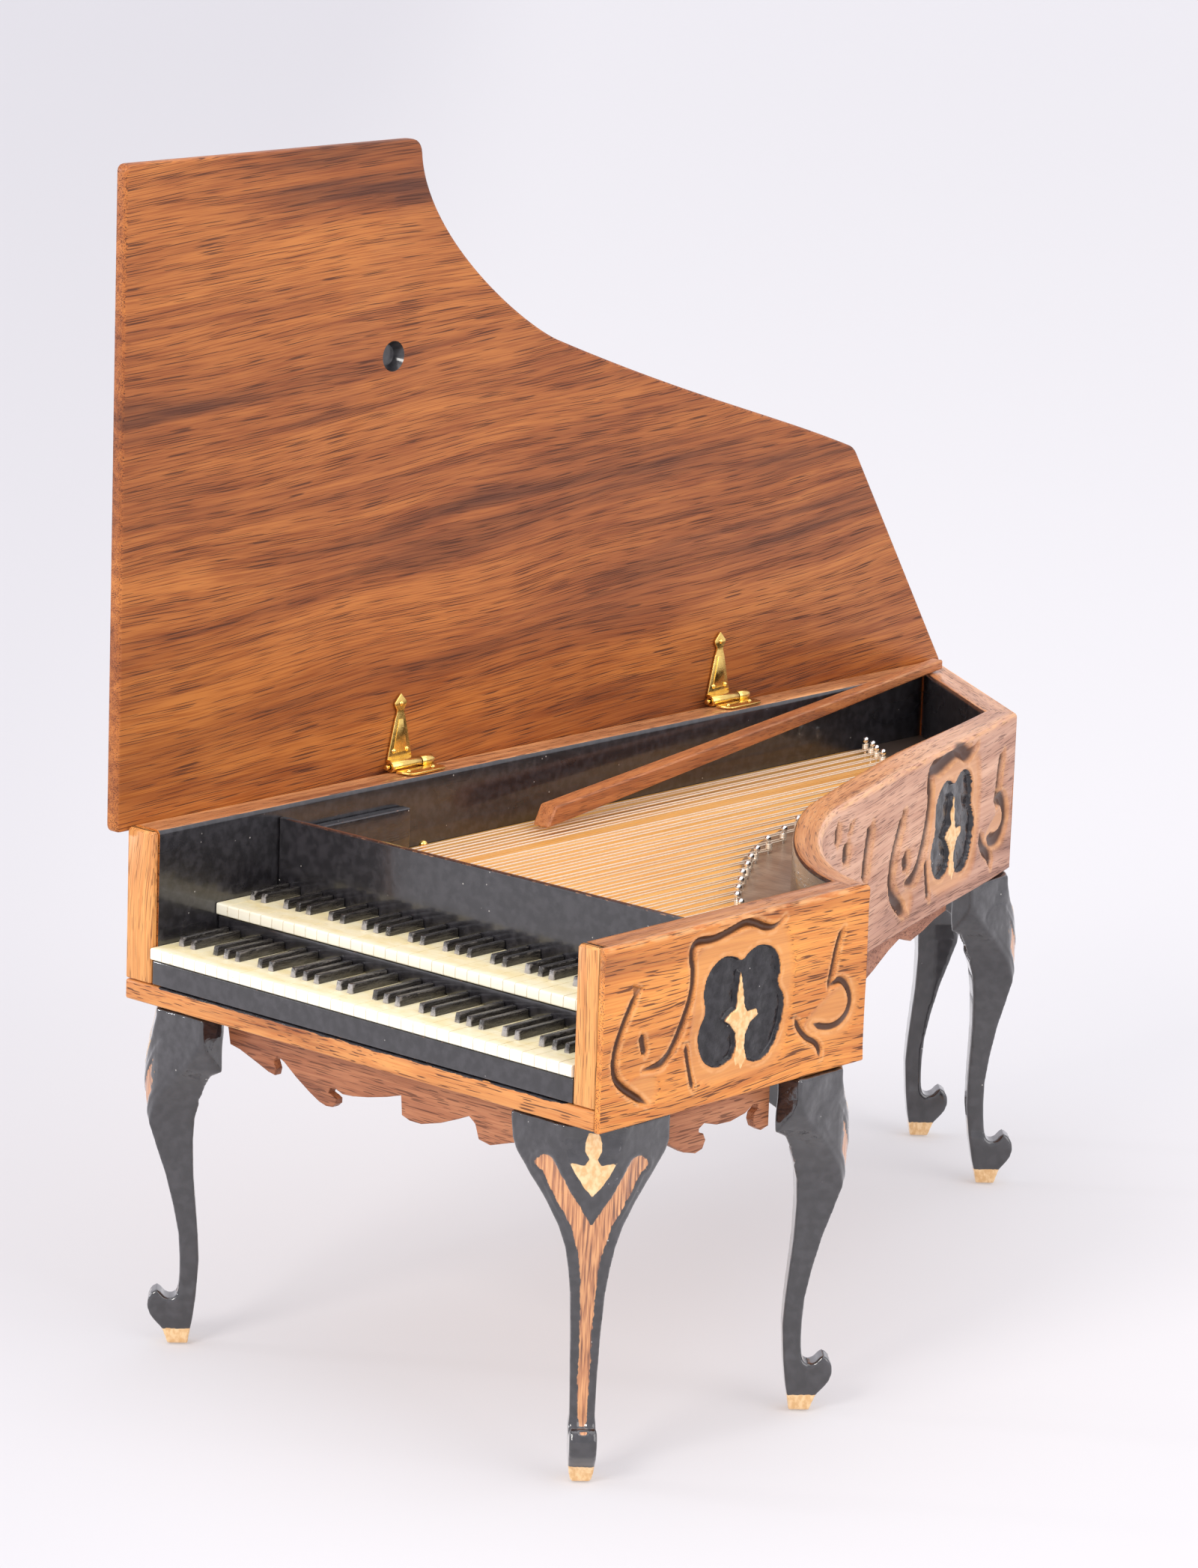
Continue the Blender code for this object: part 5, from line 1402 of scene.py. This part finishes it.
def bent_apron():
    """Apron that follows the bentside, its hanging edge drawn along the curve."""
    outer, inner = (bent_line(inwards) for inwards in BENT_APRON)
    run = run_along(outer)
    low, high = plan_box("bentside_apron")
    start = run[np.abs(outer[:, 1] - low[1] - 0.3).argmin()]
    stop = run[np.abs(outer[:, 1] - high[1] + 0.3).argmin()]
    stations = np.arange(start, stop, 0.3)
    edge = BENT_EDGE * ((stop - start) / BENT_EDGE[-1, 0], 1)
    top = BOTTOM - GLUE
    rings = []
    for s, hang in zip(stations, np.interp(stations - start, *edge.T)):
        a, b = (np.array([np.interp(s, run, values) for values in line.T])
                for line in (outer, inner))
        outside = [(0, top), (0, top - hang * 0.4), (0, top - hang + 0.15), (0.12, top - hang)]
        shares = outside + [(1 - share, z) for share, z in outside[::-1]]
        rings.append([(*between(a, b, share), z) for share, z in shares])
    mesh = loft(np.array(rings))
    points = coordinates(mesh)
    attributes(mesh, grain=np.column_stack([np.repeat(stations, 8), points[:, 2],
                                            points[:, 0]]))
    finish_mesh(mesh, 40)
    piece("bentside_apron_board", mesh, "bentside_apron", WALNUT_APRON)


bent_apron()


# ---- legs

# Outlines of a leg from its side and from its front, (outward or sideways, up)
LEG_SIDE = [
    (1.25, 0), (1.5, 0.9), (1.9, 1.95), (2.6, 2.7), (3.35, 3.6), (3.75, 4.7), (3.65, 5.7),
    (3.2, 6.5), (2.6, 6.8), (2.1, 6.5), (1.75, 6.0), (1.2, 5.75), (0.6, 5.8), (0.15, 6.3),
    (-0.05, 7.3), (-0.12, 9.0), (-0.10, 11.0), (0.1, 13.9), (0.76, 17.3), (1.75, 21.3),
    (2.85, 24.7), (3.8, 27.8), (4.4, 30.8), (4.5, 34.2), (4.15, 36.9), (3.65, 39.3),
    (3.25, 41.2), (3.2, 42.55), (-9.4, 42.55), (-9.4, 36.6), (-5.4, 35.9), (-3.4, 34.9),
    (-2.7, 33.2), (-2.15, 31.0), (-1.6, 28.8), (-1.42, 25.7), (-1.55, 21.3), (-1.9, 17.3),
    (-2.2, 13.9), (-2.38, 10.5), (-2.1, 6.1), (-1.75, 3.2), (-1.5, 1.95), (-1.2, 0)]
LEG_FRONT = both_sides([
    (1.15, 0), (1.4, 1.0), (1.5, 1.95), (1.58, 3.0), (1.58, 6.2), (1.45, 7.3), (1.5, 10),
    (1.7, 16.9), (1.98, 22.5), (2.33, 25.6), (2.79, 28.4), (3.6, 30.7), (4.92, 33.1),
    (6.1, 34.9), (6.98, 36.0), (8.34, 38.2), (8.85, 39.5), (9.0, 41.0), (9.0, 42.55)])


CORNER = 6.8                                  # from a leg's axis to its sharp corner
NOSE = 5.5
EAR = 12.85 / math.sqrt(2)
EAR_THICK = 3.6


def leg_nose():
    """Rounded front of the knee seen from above, (outward, sideways)."""
    centre = CORNER - NOSE * math.sqrt(2)
    turn = np.radians(np.linspace(-45, 45, 13))
    return [(centre + NOSE * math.cos(a), NOSE * math.sin(a)) for a in turn]


def leg_plan():
    """Knee and ears seen from above, (outward, sideways)."""
    step = EAR_THICK / math.sqrt(2)
    inner = CORNER - EAR_THICK * math.sqrt(2) - 1.2
    ear = [(CORNER - EAR, EAR), (CORNER - EAR - step, EAR - step), (inner, 1.2)]
    return leg_nose() + ear + [(u, -w) for u, w in reversed(ear)]


def prism(points, low, high, plane):
    """A cut-out with sharp edges."""
    mesh = cut_out(points, low, high, plane, 0.0, 0)
    finish_mesh(mesh)
    return mesh


ARM = np.array([(0.6, 29.9), (1.27, 31.4), (2.2, 32.8), (3.2, 34.3), (4.3, 36.3), (5.1, 37.7)])
ARROW = np.array(both_sides([
    (0.0, 34.55), (1.0, 35.7), (1.9, 37.0), (2.65, 38.3), (1.8, 38.2), (0.9, 38.0), (0.45, 38.7),
    (0.93, 39.6), (0.93, 40.5), (0.55, 41.6)]))


def on_floor(points):
    """Places kept between the floor and the underside of the case."""
    points[:, 2] = np.clip(points[:, 2], 0.0, BOTTOM - 0.1)
    return points


def leg_mesh():
    """Cabriole leg from three sawn views, softened all over like a hand-filed one."""
    shape = boolean(prism(LEG_SIDE, -12, 12, FRONT), prism(LEG_FRONT, -12, 12, SIDE), "INTERSECT")
    knee = prism(leg_plan(), 29.0, 43.5, PLAN)
    behind = -4.2
    shank = prism(leg_nose() + [(0, CORNER), (behind, CORNER), (behind, -CORNER), (0, -CORNER)],
                  -1.0, 31.0, PLAN)
    shape = boolean(shape, boolean(knee, shank, "UNION"), "INTERSECT")
    return evaluated(shape, ("REMESH", dict(mode="VOXEL", voxel_size=0.20)),
                     ("SMOOTH", dict(factor=0.5, iterations=7)))


STEM = np.array([(5.5, 0.2), (7.3, 0.55), (12, 0.66), (17, 0.68), (21, 0.77), (25.3, 1.0),
                 (27.6, 1.32), (29.5, 1.82), (31, 2.3)])   # height and half width of the inlay
HOOK = np.array([(4.9, 37.5), (5.6, 37.4)])


def leg_masks(points, normals, facing):
    """Signed fields of the walnut inlay and the gilt, in the leg's own frame."""
    u, w, z = points.T
    face = np.column_stack([np.abs(w), z])
    arm, place = along_line(face, smoothed(ARM))
    hook, _ = along_line(face, HOOK)
    stem = np.where((z < 31.2) & (z > 6.2), np.interp(z, *STEM.T) - np.abs(w), -1.0)
    inlay = np.maximum(np.maximum(1.05 - 0.15 * place - arm, 0.75 - hook), stem)
    inlay = np.minimum(inlay, (normals[:, 0] - facing) * 3.0)
    gilt = np.where(u > 0, inside_by(np.column_stack([w, z]), ARROW), -1.0)
    return inlay, np.maximum(gilt, (2.0 - z) * 0.8)


LEGS = {                                      # heading, splay of the sole, bareness limit
    "front_left_leg": (225, 0.0, 0.84),
    "front_right_leg": (315, 0.0, 0.58),
    "cheek_leg": (45, 0.0, 0.84),
    "tail_right_leg": (45, 3.2, 0.84),
    "tail_left_leg": (45, 0.0, 0.84),
}


def legs():
    """Five legs; the painter left less of the wood bare on those that turn sideways."""
    shape = leg_mesh()
    points, normals = on_floor(coordinates(shape)), coordinates(shape, "normal")
    high = unit((points[:, 2] - 33) / 3)
    soles = {mount["name"].replace("foot", "leg"): mount["pos_m"]
             for mount in frame["record"]["mounts"]}
    for number, (name, (heading, lean, facing)) in enumerate(LEGS.items()):
        inlay, gilt = leg_masks(points, normals, facing)
        raised = unit(gilt / 0.15) * 0.07 * (points[:, 2] > 5)
        sunk = unit(inlay / 0.18 + 0.3) * -0.10
        ridge = near(inlay, -0.35, 0.3) * 0.07
        thick = high * unit(0.3 - np.maximum(inlay, gilt))
        waves = points @ np.array([[0.9, -0.5, 0.4], [0.7, 1.1, -0.9], [0.5, 0.6, 1.2]]).T
        lumps = np.sin(waves + (number, 2.0, 1.0)).sum(axis=1) / 3
        moved = on_floor(points + normals * (raised + sunk + ridge + thick * lumps * 0.12)[:, None])
        mesh = shape.copy()
        attributes(mesh, grain=points[:, (2, 0, 1)] + (number * 57.0, 0, 0), inlay=inlay,
                   gilt=gilt, edge=near(inlay, -0.22, 0.25) * 0.75, high=high)
        sole = (np.array(soles[name]) - ORIGIN) / MM
        mesh.vertices.foreach_set("co", moved.ravel())
        mesh.transform(Matrix.Translation(Vector((sole[0] - lean, sole[1], 0)))
                       @ Matrix.Rotation(math.radians(heading), 4, "Z"))
        splayed = coordinates(mesh)
        splayed[:, 0] += lean * (1 - splayed[:, 2] / BOTTOM)
        mesh.vertices.foreach_set("co", splayed.ravel())
        mesh.shade_smooth()
        piece(name + "_skin", mesh, name, LEG)


legs()


# ---- studio

AZIMUTH, ELEVATION, ROLL = 41.4445, 12.9677, 2.025
CAMERA_AT = np.array([475.62, -454.85, 179.12 + BOTTOM])   # millimetres of the plan
LENS = 131.1
SWEEP = [(-3.0, 0), (2.2, 0), (2.7, 0.05), (3.1, 0.25), (3.35, 0.7), (3.4, 1.4), (3.4, 4.0)]
LIGHTS = {                                    # place, aim, size, watts and colour
    "key": ((0.15, -1.35, 0.85), (0, 0, 0.06), 0.5, 12.0, (1.0, 0.96, 0.91)),
    "left": ((-1.5, -1.05, 0.38), (0, 0, 0.03), 0.18, 6.5, (0.97, 0.97, 1.0)),
    "fill": ((1.4, 0.1, 0.8), (0, 0, 0.05), 1.2, 9.0, (1.0, 0.97, 0.95)),
    "top": ((0.1, 0.1, 1.5), (0, 0, 0.05), 1.6, 8.0, (1.0, 1.0, 1.0)),
}


def studio():
    """White paper that sweeps up behind the object, with painted light and shade on it, a pale sky
    and four square lamps.
    """
    floor = bpy.data.meshes.new("floor")
    verts = [(x, y, z - 0.0002) for y, z in SWEEP for x in (-5.0, 5.0)]
    floor.from_pydata(verts, [], [(2 * i, 2 * i + 1, 2 * i + 3, 2 * i + 2)
                                  for i in range(len(SWEEP) - 1)])
    floor.shade_smooth()
    obj = placed("floor", floor)
    obj.rotation_euler[2] = math.radians(41.4)
    t = Tree("studio_paper_painted_light")
    place = t.attr("position", "Vector")
    tint = t.noise(place, (3, 3, 3))
    x, y = (t.node("SeparateXYZ", axis, {"Vector": place}) for axis in "XY")
    near_by = t.mix(tint, (0.395, 0.388, 0.402), (0.403, 0.396, 0.410))
    # Painted light: the paper is paler up the backdrop than on the floor.
    colour = t.mix(t.ramp(y, 0.3, 2.6), near_by, (0.52, 0.512, 0.532))
    # Painted shadow: the floor is darkened towards the left.
    colour = t.mix(t.ramp(x, -0.14, -0.04, 0.55, 0.0), colour, (0.70, 0.69, 0.73), "MULTIPLY")
    # Painted light: the paper glows a little, which lightens the shadows on it.
    t.set(Emission_Color=(1.0, 0.985, 1.0, 1.0), Emission_Strength=0.33)
    floor.materials.append(t.out(colour, 0.8))

    world = bpy.data.worlds.new("studio")
    bpy.context.scene.world = world
    world.use_nodes = True
    background = world.node_tree.nodes["Background"]
    background.inputs["Color"].default_value = (0.94, 0.93, 1.0, 1)
    background.inputs["Strength"].default_value = 1.0
    for name, (place, aim, size, power, colour) in LIGHTS.items():
        light = bpy.data.lights.new(name, "AREA")
        light.size, light.energy, light.color = size, power, colour
        lamp = placed(name, light)
        lamp.location = place
        lamp.rotation_euler = (Vector(aim) - Vector(place)).to_track_quat("-Z", "Y").to_euler()
    bpy.context.scene.view_settings.view_transform = "Standard"


def camera():
    """Camera at the photograph's place, turned by its azimuth, elevation and roll."""
    azimuth, elevation, roll = (math.radians(a) for a in (AZIMUTH, ELEVATION, ROLL))
    back = Vector((math.sin(azimuth) * math.cos(elevation),
                   -math.cos(azimuth) * math.cos(elevation), math.sin(elevation)))
    right = (-back).cross(Vector((0, 0, 1))).normalized()
    up = back.cross(right)
    turn = Matrix((right * math.cos(roll) + up * math.sin(roll),
                   up * math.cos(roll) - right * math.sin(roll), back)).transposed()
    data = bpy.data.cameras.new("camera")
    data.sensor_width = 36.0
    data.lens = LENS
    data.clip_start, data.clip_end = 0.05, 30.0
    obj = placed("camera", data)
    obj.matrix_world = Matrix.Translation(Vector(ORIGIN + CAMERA_AT * MM)) @ turn.to_4x4()
    bpy.context.scene.camera = obj


studio()
camera()
